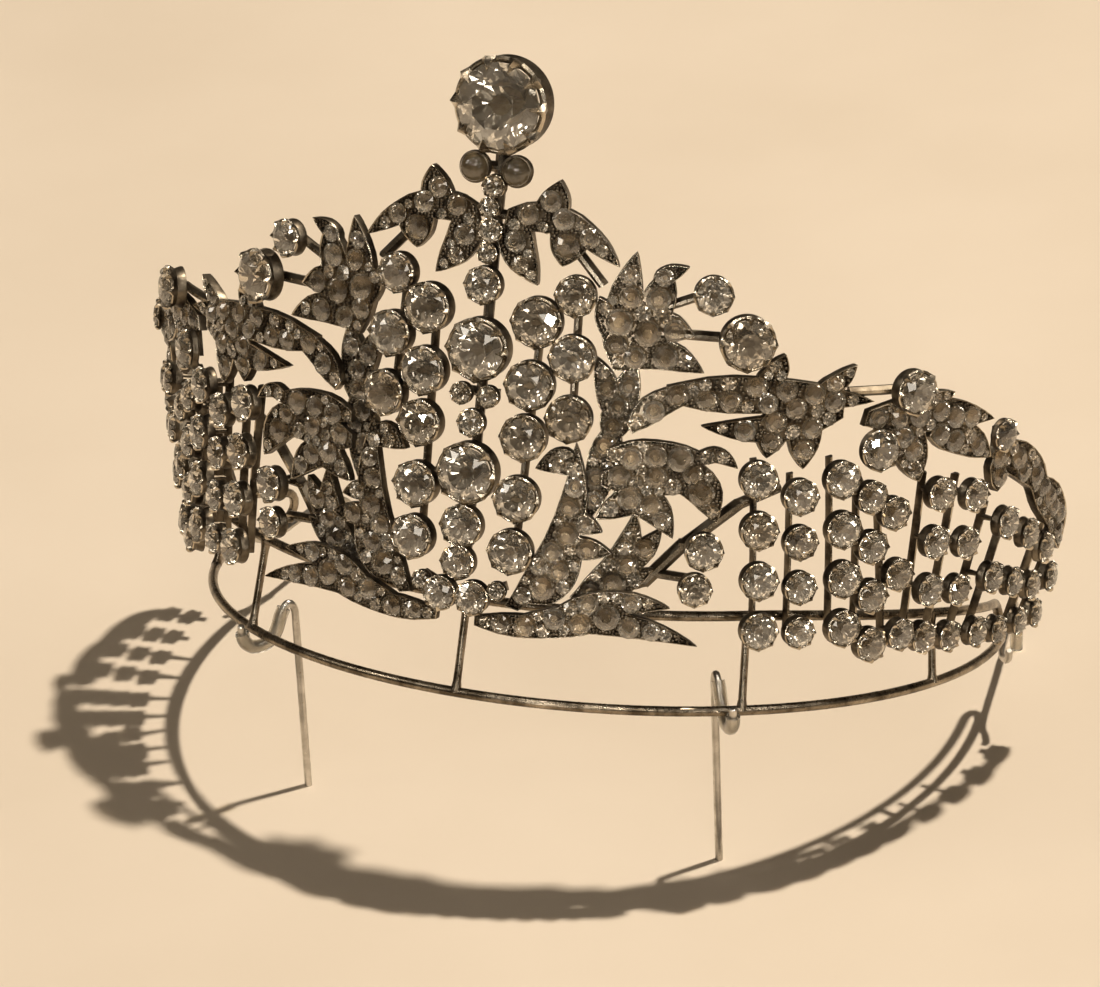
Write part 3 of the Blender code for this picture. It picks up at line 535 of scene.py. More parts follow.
def lobe_outline(root, tip, bow, width):
    """Outline of one lobe; the stations give its share of the full width along its length."""
    stations = (
        (0.0, 0.42), (0.08, 0.62), (0.18, 0.87), (0.30, 1.0), (0.44, 0.97), (0.58, 0.89),
        (0.70, 0.77), (0.80, 0.58), (0.89, 0.36), (0.96, 0.16),
    )
    along = (tip[0] - root[0], tip[1] - root[1])
    length = math.hypot(*along)
    across = (-along[1] / length, along[0] / length)
    left = []
    right = []
    for share, swell in stations:
        lift = 4.0 * bow * share * (1.0 - share)
        middle_u = root[0] + along[0] * share + across[0] * lift
        middle_v = root[1] + along[1] * share + across[1] * lift
        half = 0.5 * width * swell
        left.append((middle_u + across[0] * half, middle_v + across[1] * half))
        right.append((middle_u - across[0] * half, middle_v - across[1] * half))
    return right + [tip] + left[::-1]


def bar_outline(start, end, width):
    along = (end[0] - start[0], end[1] - start[1])
    length = math.hypot(*along)
    across = (-along[1] / length * width / 2, along[0] / length * width / 2)
    return [
        (start[0] - across[0], start[1] - across[1]),
        (end[0] - across[0], end[1] - across[1]),
        (end[0] + across[0], end[1] + across[1]),
        (start[0] + across[0], start[1] + across[1]),
    ]


def area(loop):
    return 0.5 * sum(a[0] * b[1] - b[0] * a[1] for a, b in zip(loop, loop[1:] + loop[:1]))


def join_outlines(outlines, step):
    """Triangles inside the joined outlines, with extra points inside so that they follow the curved face."""
    corners = []
    faces = []
    for outline in outlines:
        if area(outline) < 0:
            outline = outline[::-1]
        faces.append(list(range(len(corners), len(corners) + len(outline))))
        corners.extend(outline)
    flat = np.array(corners)
    low = flat.min(0)
    high = flat.max(0)
    for x in np.arange(low[0] + 0.37, high[0], step):
        for y in np.arange(low[1] + 0.41, high[1], step):
            corners.append((x, y))
    made = delaunay_2d_cdt([Vector(c) for c in corners], [], faces, 1, 1e-3, True)
    flat = np.array([tuple(c) for c in made[0]])
    triangles = []
    for face, parents in zip(made[2], made[5]):
        if not parents:
            continue
        face = list(face)
        a, b, c = flat[face]
        if (b[0] - a[0]) * (c[1] - a[1]) - (b[1] - a[1]) * (c[0] - a[0]) < 0:
            face.reverse()
        triangles.append(face)
    used = sorted({index for face in triangles for index in face})
    number = {index: k for k, index in enumerate(used)}
    return flat[used], [[number[index] for index in face] for face in triangles]


def rim_loops(triangles):
    """Outlines of the triangles' joined area, each a list of point numbers."""
    seen = set()
    for a, b, c in triangles:
        seen.update(((a, b), (b, c), (c, a)))
    follow = {}
    for start, end in seen:
        if (end, start) not in seen:
            follow.setdefault(start, []).append(end)
    loops = []
    while follow:
        start = min(follow)
        loop = [start]
        step = start
        while True:
            options = follow[step]
            ahead = options.pop()
            if not options:
                del follow[step]
            if ahead == start:
                break
            loop.append(ahead)
            step = ahead
        loops.append(loop)
    return loops


def segment_distance(points, starts, ends):
    """Distance of each point to the nearest of the segments."""
    along = ends - starts
    length = np.maximum((along ** 2).sum(1), 1e-9)
    best = np.full(len(points), 1e9)
    for a, d, l in zip(starts, along, length):
        share = np.clip(((points - a) @ d) / l, 0.0, 1.0)
        best = np.minimum(best, np.hypot(*(points - a - share[:, None] * d).T))
    return best


def within(points, loops, flat):
    """True for each point inside the outlines."""
    hit = np.zeros(len(points), bool)
    for loop in loops:
        for a, b in zip(loop, loop[1:] + loop[:1]):
            x1, y1 = flat[a]
            x2, y2 = flat[b]
            if y1 == y2:
                continue
            cross = (y1 > points[:, 1]) != (y2 > points[:, 1])
            hit ^= cross & (points[:, 0] < (x2 - x1) * (points[:, 1] - y1) / (y2 - y1) + x1)
    return hit


def trough(shape, flat, triangles, loops, bottom, bend, floor_rise, rim_rise, rim_width):
    """A plate with a sunk floor and a raised polished rim along its outline."""
    floor = surf(flat[:, 0], flat[:, 1], bottom + floor_rise + bend(flat))
    back = surf(flat[:, 0], flat[:, 1], bottom + bend(flat))
    shape.add(floor, triangles, BED)
    shape.add(back, [face[::-1] for face in triangles], SILVER)
    profile = [
        (0.0, 0.0), (0.0, rim_rise - 0.16), (0.10, rim_rise), (rim_width - 0.10, rim_rise),
        (rim_width, rim_rise - 0.16), (rim_width, floor_rise - 0.1),
    ]
    kinds = [SILVER, POLISH, POLISH, POLISH, SILVER]
    for loop in loops:
        line = flat[loop]
        before = line - np.roll(line, 1, 0)
        after = np.roll(line, -1, 0) - line
        before /= np.linalg.norm(before, axis=1)[:, None] + 1e-9
        after /= np.linalg.norm(after, axis=1)[:, None] + 1e-9
        inward = np.stack([-(before + after)[:, 1], (before + after)[:, 0]], 1)
        inward /= np.linalg.norm(inward, axis=1)[:, None] + 1e-9
        turned = np.maximum(0.6, np.abs((inward * np.stack([-after[:, 1], after[:, 0]], 1)).sum(1)))
        inward /= turned[:, None]
        rows = []
        for inset, rise in profile:
            spot = line + inward * inset
            rows.append(surf(spot[:, 0], spot[:, 1], bottom + rise + bend(line)))
        faces = [[b, a, d, c] for a, b, c, d in ring_faces(len(rows), len(line), False)]
        marks = [kind for kind in kinds for spot in line]
        shape.add(np.concatenate(rows), faces, marks)


def add_cup(shape, where, size, base, claws, foot):
    """An open cup with claws on a short post, for a stone with its girdle at the given place.

    The post's foot is at the depth base below the girdle and has the radius foot.
    """
    radius = size / 2
    count = claws * 8
    turn = 2 * math.pi * np.arange(count) / count
    claw = np.maximum(0.0, np.cos(claws * turn)) ** 2.5
    level = np.full(count, 1.0)
    wall = 0.05 * size + 0.12
    deep = min(base - 0.35, 0.32 * size + 0.6)
    back = radius * 1.05
    rows = [
        (level * (back - 0.10), -deep * level),
        (level * (back + 0.10), -deep * level),
        (level * (back + 0.16), -(deep - 0.25) * level),
        (radius * 0.97 + 0.02 * size * claw, -(deep * 0.45) * level),
        (radius + wall * 0.6 + 0.03 * size * claw, -0.09 * size * level),
        (radius + wall + 0.02 * size * claw, -0.06 * size + 0.09 * size * claw),
        (radius + wall * 0.5 - 0.02 * size * claw, -0.03 * size + 0.14 * size * claw),
        (radius + 0.01 * size - 0.11 * size * claw, -0.04 * size + 0.15 * size * claw),
        (radius - 0.02 * size - 0.03 * size * claw, -0.06 * size * level),
        (level * (back - 0.22), -(deep - 0.25) * level),
    ]
    points = np.concatenate([np.stack([r * np.cos(turn), r * np.sin(turn), h], 1) for r, h in rows])
    marks = [POLISH if row in (5, 6) else SILVER for row in range(len(rows)) for k in range(count)]
    shape.add(placed(points, where), ring_faces(len(rows), count, True), marks)
    add_post(shape, where, foot, deep, base, back)


def seat_stone(shape, where, size):
    put_stone(shape, where, size * 0.985, FINE_CUT, chance.rand() * 0.7, chance.uniform(-0.05, 0.05))


def collet(shape, where, size, base, foot):
    add_cup(shape, where, size, base, 8, foot)
    seat_stone(shape, where, size)


def add_post(shape, where, foot, deep, base, back):
    """The post behind a cup and the crossbar that carries it."""
    rows = [
        ring(foot, -base, 10, 0.0),
        ring(foot * 0.8, -(base + deep) / 2, 10, 0.0),
        ring(foot, -deep + 0.1, 10, 0.0),
    ]
    faces = [list(range(10))[::-1], list(range(20, 30))] + ring_faces(3, 10, False)
    shape.add(placed(np.concatenate(rows), where), faces, SILVER)
    half = np.array([back, 0.28, 0.25])
    corners = np.array([(x, y, z) for x in (-1, 1) for y in (-1, 1) for z in (-1, 1)]) * half
    corners[:, 2] -= deep - 0.15
    box = [[0, 1, 3, 2], [4, 6, 7, 5], [0, 4, 5, 1], [2, 3, 7, 6], [0, 2, 6, 4], [1, 5, 7, 3]]
    shape.add(placed(corners, where), box, SILVER)


def knife_bar(shape, start, end, width, bottom):
    """A bar along the face with a raised middle ridge, split so that it follows the curve."""
    start = np.array(start, float)
    end = np.array(end, float)
    length = np.hypot(*(end - start))
    steps = max(2, int(length / 3.0) + 1)
    along = (end - start) / length
    across = np.array([-along[1], along[0]])
    profile = [(-0.5, 0.0), (-0.5, 0.45), (-0.16, 1.0), (0.16, 1.0), (0.5, 0.45), (0.5, 0.0)]
    rows = []
    for k in range(steps + 1):
        spot = start + (end - start) * k / steps
        flat = np.array([spot + across * width * a for a, b in profile])
        rows.append(surf(flat[:, 0], flat[:, 1], bottom + PLATE * np.array([b for a, b in profile])))
    points = np.concatenate(rows)
    faces = []
    marks = []
    size = len(profile)
    for k in range(steps):
        for side in range(size):
            beside = (side + 1) % size
            faces.append([k * size + side, (k + 1) * size + side, (k + 1) * size + beside, k * size + beside])
            marks.append(POLISH if side == 2 else SILVER)
    faces.append(list(range(size)))
    faces.append([steps * size + side for side in range(size)][::-1])
    marks += [SILVER, SILVER]
    shape.add(points, faces, marks)


def fill_stones(leaf, flat, loops):
    """Main stones first, then the snuggest places for smaller ones, then grains of silver."""
    rims = [(loop[k], loop[(k + 1) % len(loop)]) for loop in loops for k in range(len(loop))]
    starts = flat[[a for a, b in rims]]
    ends = flat[[b for a, b in rims]]
    stones = []
    for name, u, v, size in MAIN_STONES:
        if name != leaf:
            continue
        spot = np.array([[u, v]])
        if not within(spot, loops, flat)[0]:
            continue
        size = min(size, 2 * (segment_distance(spot, starts, ends)[0] - 0.12))
        for x, y, other in stones:
            size = min(size, 2 * (math.hypot(x - u, y - v) - other / 2 - 0.06))
        if size >= FILL_SIZES[-1]:
            stones.append((u, v, size))
    xs = np.arange(flat[:, 0].min(), flat[:, 0].max(), FILL_STEP)
    ys = np.arange(flat[:, 1].min(), flat[:, 1].max(), FILL_STEP)
    spots = np.array([(x, y) for x in xs for y in ys])
    spots = spots[within(spots, loops, flat)]
    room = segment_distance(spots, starts, ends) - 0.10
    for name, u, v, size, cup in CUPS:
        if name == leaf:
            room = np.minimum(room, np.hypot(spots[:, 0] - u, spots[:, 1] - v) - 0.8)
    for name, a, b, c, d, width in STALKS:
        if name == leaf:
            near = segment_distance(spots, np.array([[a, b]]), np.array([[c, d]]))
            room = np.where((near < width * 0.5) & (room < width * 0.5), -1.0, room)
    for u, v, size in stones:
        room = np.minimum(room, np.hypot(spots[:, 0] - u, spots[:, 1] - v) - size / 2 - FILL_GAP)
    for size in FILL_SIZES:
        while True:
            spare = room - size / 2
            ready = spare >= 0
            if not ready.any():
                break
            best = np.argmin(np.where(ready, spare, 1e9))
            u, v = spots[best]
            stones.append((u, v, size))
            room = np.minimum(room, np.hypot(spots[:, 0] - u, spots[:, 1] - v) - size / 2 - FILL_GAP)
    grains = []
    for turn in range(MOST_GRAINS):
        best = int(np.argmax(room))
        if room[best] < 0.13:
            break
        u, v = spots[best]
        size = min(0.6, 2 * room[best] + 0.22)
        grains.append((u, v, size))
        room = np.where(np.hypot(spots[:, 0] - u, spots[:, 1] - v) < size * 0.75, -1.0, room)
    return stones, grains


def build_leaf(leaf, level, curl):
    """Plate, stones, grains, stalks and cups of one leaf."""
    shape = Shape()
    lobes = [lobe_outline((a, b), (c, d), bow, width) for n, a, b, c, d, bow, width in LOBES if n == leaf]
    bars = [(a, b, c, d, width) for n, a, b, c, d, width in STALKS if n == leaf]
    root = [row[1:3] for row in LOBES + STALKS if row[0] == leaf][0]
    bottom = -PLATE + LEVEL_STEP * (level - 1)
    outlines = lobes or [bar_outline(bar[:2], bar[2:4], bar[4]) for bar in bars]
    flat, triangles = join_outlines(outlines, 2.2)
    loops = rim_loops(triangles)
    reach = np.hypot(flat[:, 0] - root[0], flat[:, 1] - root[1]).max()

    def bend(spots):
        return curl * (np.hypot(spots[:, 0] - root[0], spots[:, 1] - root[1]) / reach) ** 2

    if lobes:
        trough(shape, flat, triangles, loops, bottom, bend, 0.30, PLATE + 0.22, 0.24)
        stones, grains = fill_stones(leaf, flat, loops)
        for u, v, size in stones:
            rise = bottom + PLATE + 0.12 + float(bend(np.array([[u, v]]))[0])
            model = CUT if size > 2.3 else SINGLE
            spin = chance.rand() * 0.8
            lean = chance.uniform(-0.15, 0.15)
            put_stone(shape, frame_at(u, v, rise), size * LEAF_STONE_SCALE, model, spin, lean)
        for u, v, size in grains:
            rise = bottom + PLATE - 0.25 + float(bend(np.array([[u, v]]))[0])
            grain = BEAD[0] * np.array([size, size, size * 2.2])
            shape.add(placed(grain, frame_at(u, v, rise)), BEAD[1], SILVER)
    for a, b, c, d, width in bars:
        knife_bar(shape, (a, b), (c, d), width, bottom)
    for name, u, v, size, cup in CUPS:
        if name == leaf:
            collet(shape, frame_at(u, v, bottom + PLATE + cup), size, cup + 0.3, 0.5)
    return shape


def build_string(name, u1, v1, u2, v2, count, first, last, level):
    """A row of cups on a bar that runs on past the first and the last stone."""
    shape = Shape()
    above = 2.6
    below = 1.2
    slope = (u2 - u1) / (v1 - v2)
    bottom = -PLATE + LEVEL_STEP * (level - 1)
    knife_bar(shape, (u1 - above * slope, v1 + above), (u2 + below * slope, v2 - below), 0.95, bottom)
    cup = GIRDLE_OUT - bottom - PLATE
    for k in range(count):
        share = k / (count - 1)
        size = first + (last - first) * share
        where = frame_at(u1 + (u2 - u1) * share, v1 + (v2 - v1) * share, bottom + PLATE + cup)
        collet(shape, where, size, cup + 0.3, 0.5)
    return shape


def build_large_string(name, u_high, u_low):
    shape = Shape()
    rows = [row[1:] for row in LARGE if row[0] == name]

    def across(v):
        return u_low + (u_high - u_low) * (v - 40.0) / 20.0

    top = rows[0][0] + 1.4
    foot = rows[-1][0] - 1.4
    knife_bar(shape, (across(top), top), (across(foot), foot), 1.1, BAR_BOTTOM)
    for v, size in rows:
        collet(shape, frame_at(across(v), v, GIRDLE_OUT), size, 3.4, 0.7)
    return shape


def ball(shape, where, radius, kind):
    rows = 12
    sides = 24
    points = [np.array([[0.0, 0.0, radius]])]
    for row in range(1, rows):
        high = math.pi * row / rows
        points.append(ring(radius * math.sin(high), radius * math.cos(high), sides, 0.0))
    points.append(np.array([[0.0, 0.0, -radius]]))
    points = np.concatenate(points)
    faces = []
    last = len(points) - 1
    for k in range(sides):
        beside = (k + 1) % sides
        faces.append([0, 1 + k, 1 + beside])
        for row in range(rows - 2):
            low = 1 + row * sides
            faces.append([low + k, low + sides + k, low + sides + beside, low + beside])
        tail = 1 + (rows - 2) * sides
        faces.append([tail + k, last, tail + beside])
    shape.add(placed(points, where), faces, kind)


def tube(shape, path, radii, sides, kind, closed=False):
    """A smooth tube along points in metres; radii in millimetres."""
    path = np.asarray(path)
    count = len(path)
    if closed:
        along = np.roll(path, -1, 0) - np.roll(path, 1, 0)
    else:
        along = np.gradient(path, axis=0)
    along /= np.linalg.norm(along, axis=1)[:, None]
    normal = np.cross(along[0], [0.0, 0.0, 1.0])
    if np.linalg.norm(normal) < 0.2:
        normal = np.cross(along[0], [0.0, 1.0, 0.0])
    rows = []
    turn = 2 * math.pi * np.arange(sides) / sides
    for k in range(count):
        normal = normal - along[k] * normal.dot(along[k])
        normal /= np.linalg.norm(normal)
        second = np.cross(along[k], normal)
        r = radii[k] * MM
        rows.append(path[k] + r * (np.cos(turn)[:, None] * normal + np.sin(turn)[:, None] * second))
    points = np.concatenate(rows)
    faces = ring_faces(count, sides, closed)
    if not closed:
        faces.append(list(range(sides))[::-1])
        faces.append([(count - 1) * sides + side for side in range(sides)])
    shape.add(points, faces, kind)


def curve_through(points, steps):
    """Points of a smooth curve that passes through the given ones."""
    points = np.asarray(points, float)
    padded = np.concatenate([2 * points[:1] - points[1:2], points, 2 * points[-1:] - points[-2:-1]])
    out = []
    for k in range(1, len(padded) - 2):
        p0, p1, p2, p3 = padded[k - 1:k + 3]
        for share in np.arange(steps) / steps:
            out.append(0.5 * (2 * p1 + (p2 - p0) * share + (2 * p0 - 5 * p1 + 4 * p2 - p3) * share ** 2
                              + (3 * p1 - p0 - 3 * p2 + p3) * share ** 3))
    out.append(points[-1])
    return np.array(out)


def add_collar(shape, where, radius):
    """A round cup behind a smooth stone, with a rolled edge."""
    turn = 2 * math.pi * np.arange(32) / 32
    for out, wide, thick in ((0.25, 1.0, 0.26), (-0.35, 0.97, 0.34), (-0.95, 0.88, 0.38), (-1.5, 0.70, 0.38)):
        circle = np.stack([radius * wide * np.cos(turn), radius * wide * np.sin(turn), np.full(32, out)], 1)
        tube(shape, placed(circle, where), [thick] * 32, 8, SILVER, closed=True)


def upper_height(angle):
    past = max(0.0, abs(angle) - 40.0) / (END_ANGLE - 40.0)
    return UPPER_HEIGHT * (1.0 - 0.60 * past ** 1.5)


def rail_point(angle, share):
    turn = math.radians(angle)
    side = RAIL_RADIUS + (UPPER_SIDE - RAIL_RADIUS) * share
    front = RAIL_RADIUS + (UPPER_FRONT - RAIL_RADIUS) * share
    return tilt(side * math.sin(turn), -front * math.cos(turn), upper_height(angle) * share)


def build_rails():
    shape = Shape()
    steps = 84
    path = [rail_point(-END_ANGLE + 2 * END_ANGLE * k / steps, 0.0) for k in range(steps + 1)]
    bulge = math.degrees(upper_height(END_ANGLE) / 2 / RAIL_RADIUS)
    for k in range(1, 10):
        turn = math.pi * k / 10
        path.append(rail_point(END_ANGLE + bulge * math.sin(turn), (1 - math.cos(turn)) / 2))
    path += [rail_point(END_ANGLE - 2 * END_ANGLE * k / steps, 1.0) for k in range(steps + 1)]
    for k in range(1, 10):
        turn = math.pi * k / 10
        path.append(rail_point(-END_ANGLE - bulge * math.sin(turn), (1 + math.cos(turn)) / 2))
    tube(shape, path, [RAIL_WIRE] * len(path), 14, SILVER, closed=True)
    for angle in POST_ANGLES:
        low = rail_point(angle, 0.0)
        high = rail_point(angle, 1.0)
        post = [low + (high - low) * share for share in (0.0, 0.06, 0.12, 0.3, 0.7, 0.88, 0.94, 1.0)]
        tube(shape, post, [0.95, 0.8, 0.66, 0.62, 0.62, 0.66, 0.8, 0.95], 12, SILVER)
    return shape


def build_leg(angle, rear):
    """A wire of the stand and its clear sleeve: round the hook in front, round the upright at the rear."""
    turn = math.radians(angle)
    rail = tilt(RAIL_RADIUS * math.sin(turn), -RAIL_RADIUS * math.cos(turn), 0.0) / MM
    path = []
    if rear:
        side = math.copysign(1.0, angle)
        for out, back, high in REAR_HOOK:
            path.append((rail[0] + side * out, rail[1] + back, high))
    else:
        outward_x = math.sin(turn)
        outward_y = -math.cos(turn)
        for out, high in FRONT_HOOK:
            tall = 0.0 if high is None else rail[2] + high
            path.append((rail[0] + outward_x * out, rail[1] + outward_y * out, tall))
    path = np.array(path)
    wire = Shape()
    smooth = np.concatenate([path[:1], curve_through(path[1:], 6)]) * MM
    radii = [WIRE_RADIUS] * len(smooth)
    radii[-1] = 0.45
    tube(wire, smooth, radii, 12, SILVER)
    sleeve = Shape()
    if rear:
        covered = np.array([path[0] + (path[1] - path[0]) * share for share in (0.02, 0.3, 0.6, 1.0)])
    else:
        covered = curve_through(path[4:12], 6)
    tube(sleeve, covered * MM, [SLEEVE_RADIUS] * len(covered), 16, SMOOTH)
    return wire, sleeve


def socket(node, name, value):
    node.inputs[name].default_value = value


def link(source, target):
    source.id_data.links.new(source, target)


def new_material(name, color):
    material = bpy.data.materials.new(name)
    material.use_nodes = True
    material.diffuse_color = color
    tree = material.node_tree
    tree.nodes.clear()
    out = tree.nodes.new("ShaderNodeOutputMaterial")
    return material, tree, out


def add_noise(tree, scale, detail, rough=0.5):
    place = tree.nodes.new("ShaderNodeTexCoord")
    noise = tree.nodes.new("ShaderNodeTexNoise")
    socket(noise, "Scale", scale)
    socket(noise, "Detail", detail)
    socket(noise, "Roughness", rough)
    link(place.outputs["Object"], noise.inputs["Vector"])
    return noise


def add_ramp(tree, source, stops):
    ramp = tree.nodes.new("ShaderNodeValToRGB")
    elements = ramp.color_ramp.elements
    while len(elements) < len(stops):
        elements.new(0.5)
    for element, (spot, color) in zip(elements, stops):
        element.position = spot
        element.color = color
    link(source, ramp.inputs["Fac"])
    return ramp


def add_range(tree, source, low, high):
    spread = tree.nodes.new("ShaderNodeMapRange")
    socket(spread, "To Min", low)
    socket(spread, "To Max", high)
    link(source.outputs["Fac"], spread.inputs["Value"])
    return spread.outputs["Result"]


def let_light_pass(tree, surface, out, color):
    """Light on its way to the floor passes the surface, dimmed to the colour."""
    clear = tree.nodes.new("ShaderNodeBsdfTransparent")
    socket(clear, "Color", color)
    path = tree.nodes.new("ShaderNodeLightPath")
    mix = tree.nodes.new("ShaderNodeMixShader")
    link(path.outputs["Is Shadow Ray"], mix.inputs["Fac"])
    link(surface, mix.inputs[1])
    link(clear.outputs["BSDF"], mix.inputs[2])
    link(mix.outputs["Shader"], out.inputs["Surface"])


def metal_material(name, dark, light, rough_low, rough_high, grain):
    """Silver with uneven tarnish and fine handling marks."""
    material, tree, out = new_material(name, light)
    shader = tree.nodes.new("ShaderNodeBsdfPrincipled")
    socket(shader, "Metallic", 1.0)
    patches = add_noise(tree, 260.0, 5.0, 0.6)
    color = add_ramp(tree, patches.outputs["Fac"], [(0.38, dark), (0.66, light)])
    link(color.outputs["Color"], shader.inputs["Base Color"])
    fine = add_noise(tree, grain, 3.0)
    link(add_range(tree, fine, rough_low, rough_high), shader.inputs["Roughness"])
    bump = tree.nodes.new("ShaderNodeBump")
    socket(bump, "Strength", 0.25)
    socket(bump, "Distance", 0.00006)
    link(fine.outputs["Fac"], bump.inputs["Height"])
    link(bump.outputs["Normal"], shader.inputs["Normal"])
    link(shader.outputs["BSDF"], out.inputs["Surface"])
    return material


def stone_material(name, tint_low, tint_high, ior, cloudy):
    """A slightly cloudy old-cut stone; light passes it on its way to the floor, and each has its own tint."""
    material, tree, out = new_material(name, tint_high)
    tone = tree.nodes.new("ShaderNodeAttribute")
    tone.attribute_name = "tone"
    color = add_ramp(tree, tone.outputs["Fac"], [(0.0, tint_low), (1.0, tint_high)])
    glass = tree.nodes.new("ShaderNodeBsdfPrincipled")
    socket(glass, "Transmission Weight", 1.0)
    socket(glass, "IOR", ior)
    socket(glass, "Roughness", 0.015)
    link(color.outputs["Color"], glass.inputs["Base Color"])
    milk = tree.nodes.new("ShaderNodeBsdfTranslucent")
    dust = tree.nodes.new("ShaderNodeBsdfDiffuse")
    for part in (milk, dust):
        link(color.outputs["Color"], part.inputs["Color"])
    haze = tree.nodes.new("ShaderNodeAddShader")
    link(milk.outputs["BSDF"], haze.inputs[0])
    link(dust.outputs["BSDF"], haze.inputs[1])
    body = tree.nodes.new("ShaderNodeMixShader")
    socket(body, "Fac", cloudy)
    link(glass.outputs["BSDF"], body.inputs[1])
    link(haze.outputs["Shader"], body.inputs[2])
    let_light_pass(tree, body.outputs["Shader"], out, (0.36, 0.33, 0.28, 1.0))
    return material


def smooth_material(name, color):
    material, tree, out = new_material(name, color)
    shader = tree.nodes.new("ShaderNodeBsdfPrincipled")
    socket(shader, "Transmission Weight", 0.35)
    socket(shader, "IOR", 1.75)
    socket(shader, "Roughness", 0.05)
    cloud = add_noise(tree, 420.0, 3.0)
    dark = tuple(0.55 * c for c in color[:3]) + (1.0,)
    ramp = add_ramp(tree, cloud.outputs["Fac"], [(0.35, dark), (0.65, color)])
    link(ramp.outputs["Color"], shader.inputs["Base Color"])
    link(shader.outputs["BSDF"], out.inputs["Surface"])
    return material


def sleeve_material(name):
    material, tree, out = new_material(name, (0.8, 0.78, 0.72, 1.0))
    shader = tree.nodes.new("ShaderNodeBsdfPrincipled")
    socket(shader, "Base Color", (0.86, 0.83, 0.76, 1.0))
    socket(shader, "IOR", 1.45)
    socket(shader, "Transmission Weight", 0.9)
    haze = add_noise(tree, 300.0, 2.0)
    link(add_range(tree, haze, 0.10, 0.30), shader.inputs["Roughness"])
    let_light_pass(tree, shader.outputs["BSDF"], out, (0.75, 0.73, 0.68, 1.0))
    return material


def floor_material():
    material, tree, out = new_material("pale_floor", (0.8, 0.7, 0.55, 1.0))
    shader = tree.nodes.new("ShaderNodeBsdfPrincipled")
    socket(shader, "Specular IOR Level", 0.25)
    cloud = add_noise(tree, 9.0, 4.0)
    low = (0.79, 0.675, 0.535, 1.0)
    high = (0.86, 0.745, 0.605, 1.0)
    ramp = add_ramp(tree, cloud.outputs["Fac"], [(0.3, low), (0.7, high)])
    link(ramp.outputs["Color"], shader.inputs["Base Color"])
    specks = add_noise(tree, 900.0, 2.0)
    link(add_range(tree, specks, 0.55, 0.8), shader.inputs["Roughness"])
    link(shader.outputs["BSDF"], out.inputs["Surface"])
    return material


def area_light(name, place, target, size, power, color):
    data = bpy.data.lights.new(name, "AREA")
    data.shape = "DISK"
    data.size = size
    data.energy = power
    data.color = color
    item = bpy.data.objects.new(name, data)
    item.location = place
    item.rotation_euler = (Vector(target) - Vector(place)).to_track_quat("-Z", "Y").to_euler()
    bpy.context.scene.collection.objects.link(item)
    return item


def build_stage():
    mesh = bpy.data.meshes.new("pale_floor")
    corners = [(x, y, 0.0) for x, y in ((-3.0, -3.0), (3.0, -3.0), (3.0, 3.0), (-3.0, 3.0))]
    mesh.from_pydata(corners, [], [[0, 1, 2, 3]])
    mesh.materials.append(floor_material())
    floor = bpy.data.objects.new("pale_floor", mesh)
    bpy.context.scene.collection.objects.link(floor)
    area_light("key", (0.44, 0.46, 2.00), (0.0, 0.0, 0.03), 0.07, 41.0, (1.0, 0.90, 0.77))
    area_light("front_fill", (0.7, -1.3, 1.2), (0.0, 0.0, 0.06), 0.5, 2.5, (1.0, 0.90, 0.76))
    area_light("left_fill", (-1.0, -0.5, 0.8), (0.0, 0.0, 0.06), 0.3, 1.2, (1.0, 0.91, 0.78))
    for x, y, z in SPARKLES:
        glint = area_light("sparkle", (x, y, z), (0.0, 0.0, 0.06), 0.05, 1.4, (1.0, 0.94, 0.86))
        glint.visible_diffuse = False
    world = bpy.data.worlds.new("surroundings")
    bpy.context.scene.world = world
    world.use_nodes = True
    tree = world.node_tree
    back = tree.nodes["Background"]
    place = tree.nodes.new("ShaderNodeTexCoord")
    noise = tree.nodes.new("ShaderNodeTexNoise")
    socket(noise, "Scale", 3.5)
    socket(noise, "Detail", 2.0)
    link(place.outputs["Generated"], noise.inputs["Vector"])
    ramp = add_ramp(tree, noise.outputs["Fac"], [
        (0.42, (0.05, 0.037, 0.024, 1.0)), (0.55, (0.20, 0.155, 0.105, 1.0)), (0.68, (1.4, 1.18, 0.90, 1.0)),
    ])
    link(ramp.outputs["Color"], back.inputs["Color"])
    socket(back, "Strength", 0.28)
    data = bpy.data.cameras.new("camera")
    data.lens = CAMERA_LENS
    data.sensor_width = 36.0
    camera = bpy.data.objects.new("camera", data)
    camera.location = CAMERA_PLACE
    camera.rotation_euler = Euler([math.radians(degrees) for degrees in CAMERA_DEGREES])
    bpy.context.scene.collection.objects.link(camera)
    bpy.context.scene.camera = camera
    bpy.context.scene.view_settings.view_transform = "Standard"


def build_centre_piece(node):
    """The bars, cups and smooth stones of one node of the centre."""
    shape = Shape()
    bottom = FOOT_BAR_BOTTOM if node == "foot_pair" else BAR_BOTTOM
    for name, a, b, c, d, width in CENTRE_BARS:
        if name == node:
            knife_bar(shape, (a, b), (c, d), width, bottom)
    for name, u, v, size, cup in CENTRE_CUPS:
        if name == node:
            collet(shape, frame_at(u, v, bottom + PLATE + cup), size, cup + 0.3, 0.5)
    if node == "smooth_pair":
        for u in (-2.7, 2.7):
            ball(shape, frame_at(u, 81.0, 0.1), 2.3, SMOOTH)
            add_collar(shape, frame_at(u, 81.0, 0.1), 2.25)
    return shape


def build_both_sides(shape, name, materials):
    """The shape as drawn on the right, and mirrored on the left."""
    for side, mirror in (("right", False), ("left", True)):
        shape.build(name + "_dress_" + side, materials, "stones_in_silver", name + "_" + side, mirror)


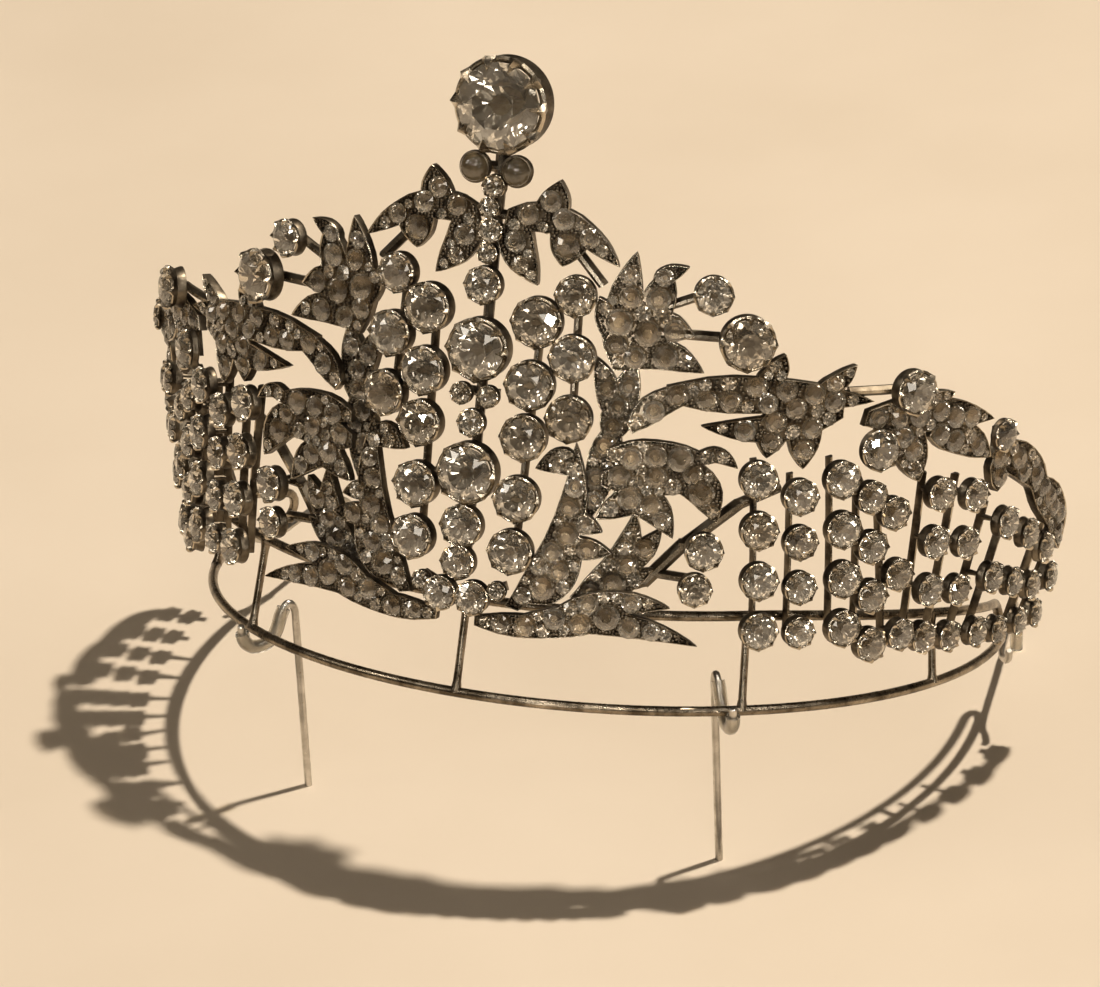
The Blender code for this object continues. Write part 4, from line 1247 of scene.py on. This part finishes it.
def main():
    silver = metal_material(
        "dark_silver", (0.050, 0.038, 0.026, 1.0), (0.24, 0.20, 0.145, 1.0), 0.28, 0.50, 2400.0)
    polish = metal_material(
        "polished_edges", (0.32, 0.27, 0.20, 1.0), (0.66, 0.58, 0.46, 1.0), 0.16, 0.34, 2600.0)
    stone = stone_material(
        "cut_stones", (0.74, 0.66, 0.54, 1.0), (0.98, 0.95, 0.88, 1.0), 2.1, 0.035)
    smooth = smooth_material("smooth_stones", (0.28, 0.23, 0.155, 1.0))
    sleeve = sleeve_material("clear_sleeve")
    wire = metal_material(
        "stand_wire", (0.42, 0.39, 0.34, 1.0), (0.70, 0.66, 0.60, 1.0), 0.22, 0.40, 1800.0)
    rubbed = metal_material(
        "rubbed_silver", (0.10, 0.078, 0.052, 1.0), (0.40, 0.335, 0.25, 1.0), 0.20, 0.38, 2000.0)
    dress = {SILVER: silver, POLISH: polish, STONE: stone, SMOOTH: smooth, BED: rubbed}
    for leaf, level, curl in LEAVES:
        build_both_sides(build_leaf(leaf, level, curl), leaf, dress)
    for row in STRINGS:
        build_both_sides(build_string(*row), row[0], dress)
    for row in LARGE_LINES:
        build_both_sides(build_large_string(*row), row[0], dress)
    for node in ("centre_drop", "centre_bud", "centre_tail", "foot_pair", "smooth_pair"):
        slot = "smooth_stones" if node == "smooth_pair" else "stones_in_silver"
        build_centre_piece(node).build(node + "_dress", dress, slot, node)
    for name, v, size, claws in CENTRE:
        cup = Shape()
        gem = Shape()
        where = centre_frame(v, GIRDLE_OUT)
        add_cup(cup, where, size, 0.42 * size + 0.6, claws, 0.12 * size)
        seat_stone(gem, where, size)
        gem.tones[0][:] = LARGE_STONE_TONE
        cup.build(name + "_cup_dress", dress, "oxidised_silver", name + "_setting")
        gem.build(name + "_stone_dress", dress, "diamond", name + "_stone")
    build_rails().build("rail_dress", {SILVER: rubbed}, "oxidised_silver", "rail_frame")
    number = 1
    for angles, rear in ((FRONT_LEGS, False), (REAR_LEGS, True)):
        for angle in angles:
            bare, cover = build_leg(angle, rear)
            node = "stand_leg_%d" % number
            bare.build("stand_wire_%d" % number, {SILVER: wire}, "stand_wire", node)
            cover.build("stand_sleeve_%d" % number, {SMOOTH: sleeve}, "stand_wire", node)
            number += 1
    build_stage()


main()
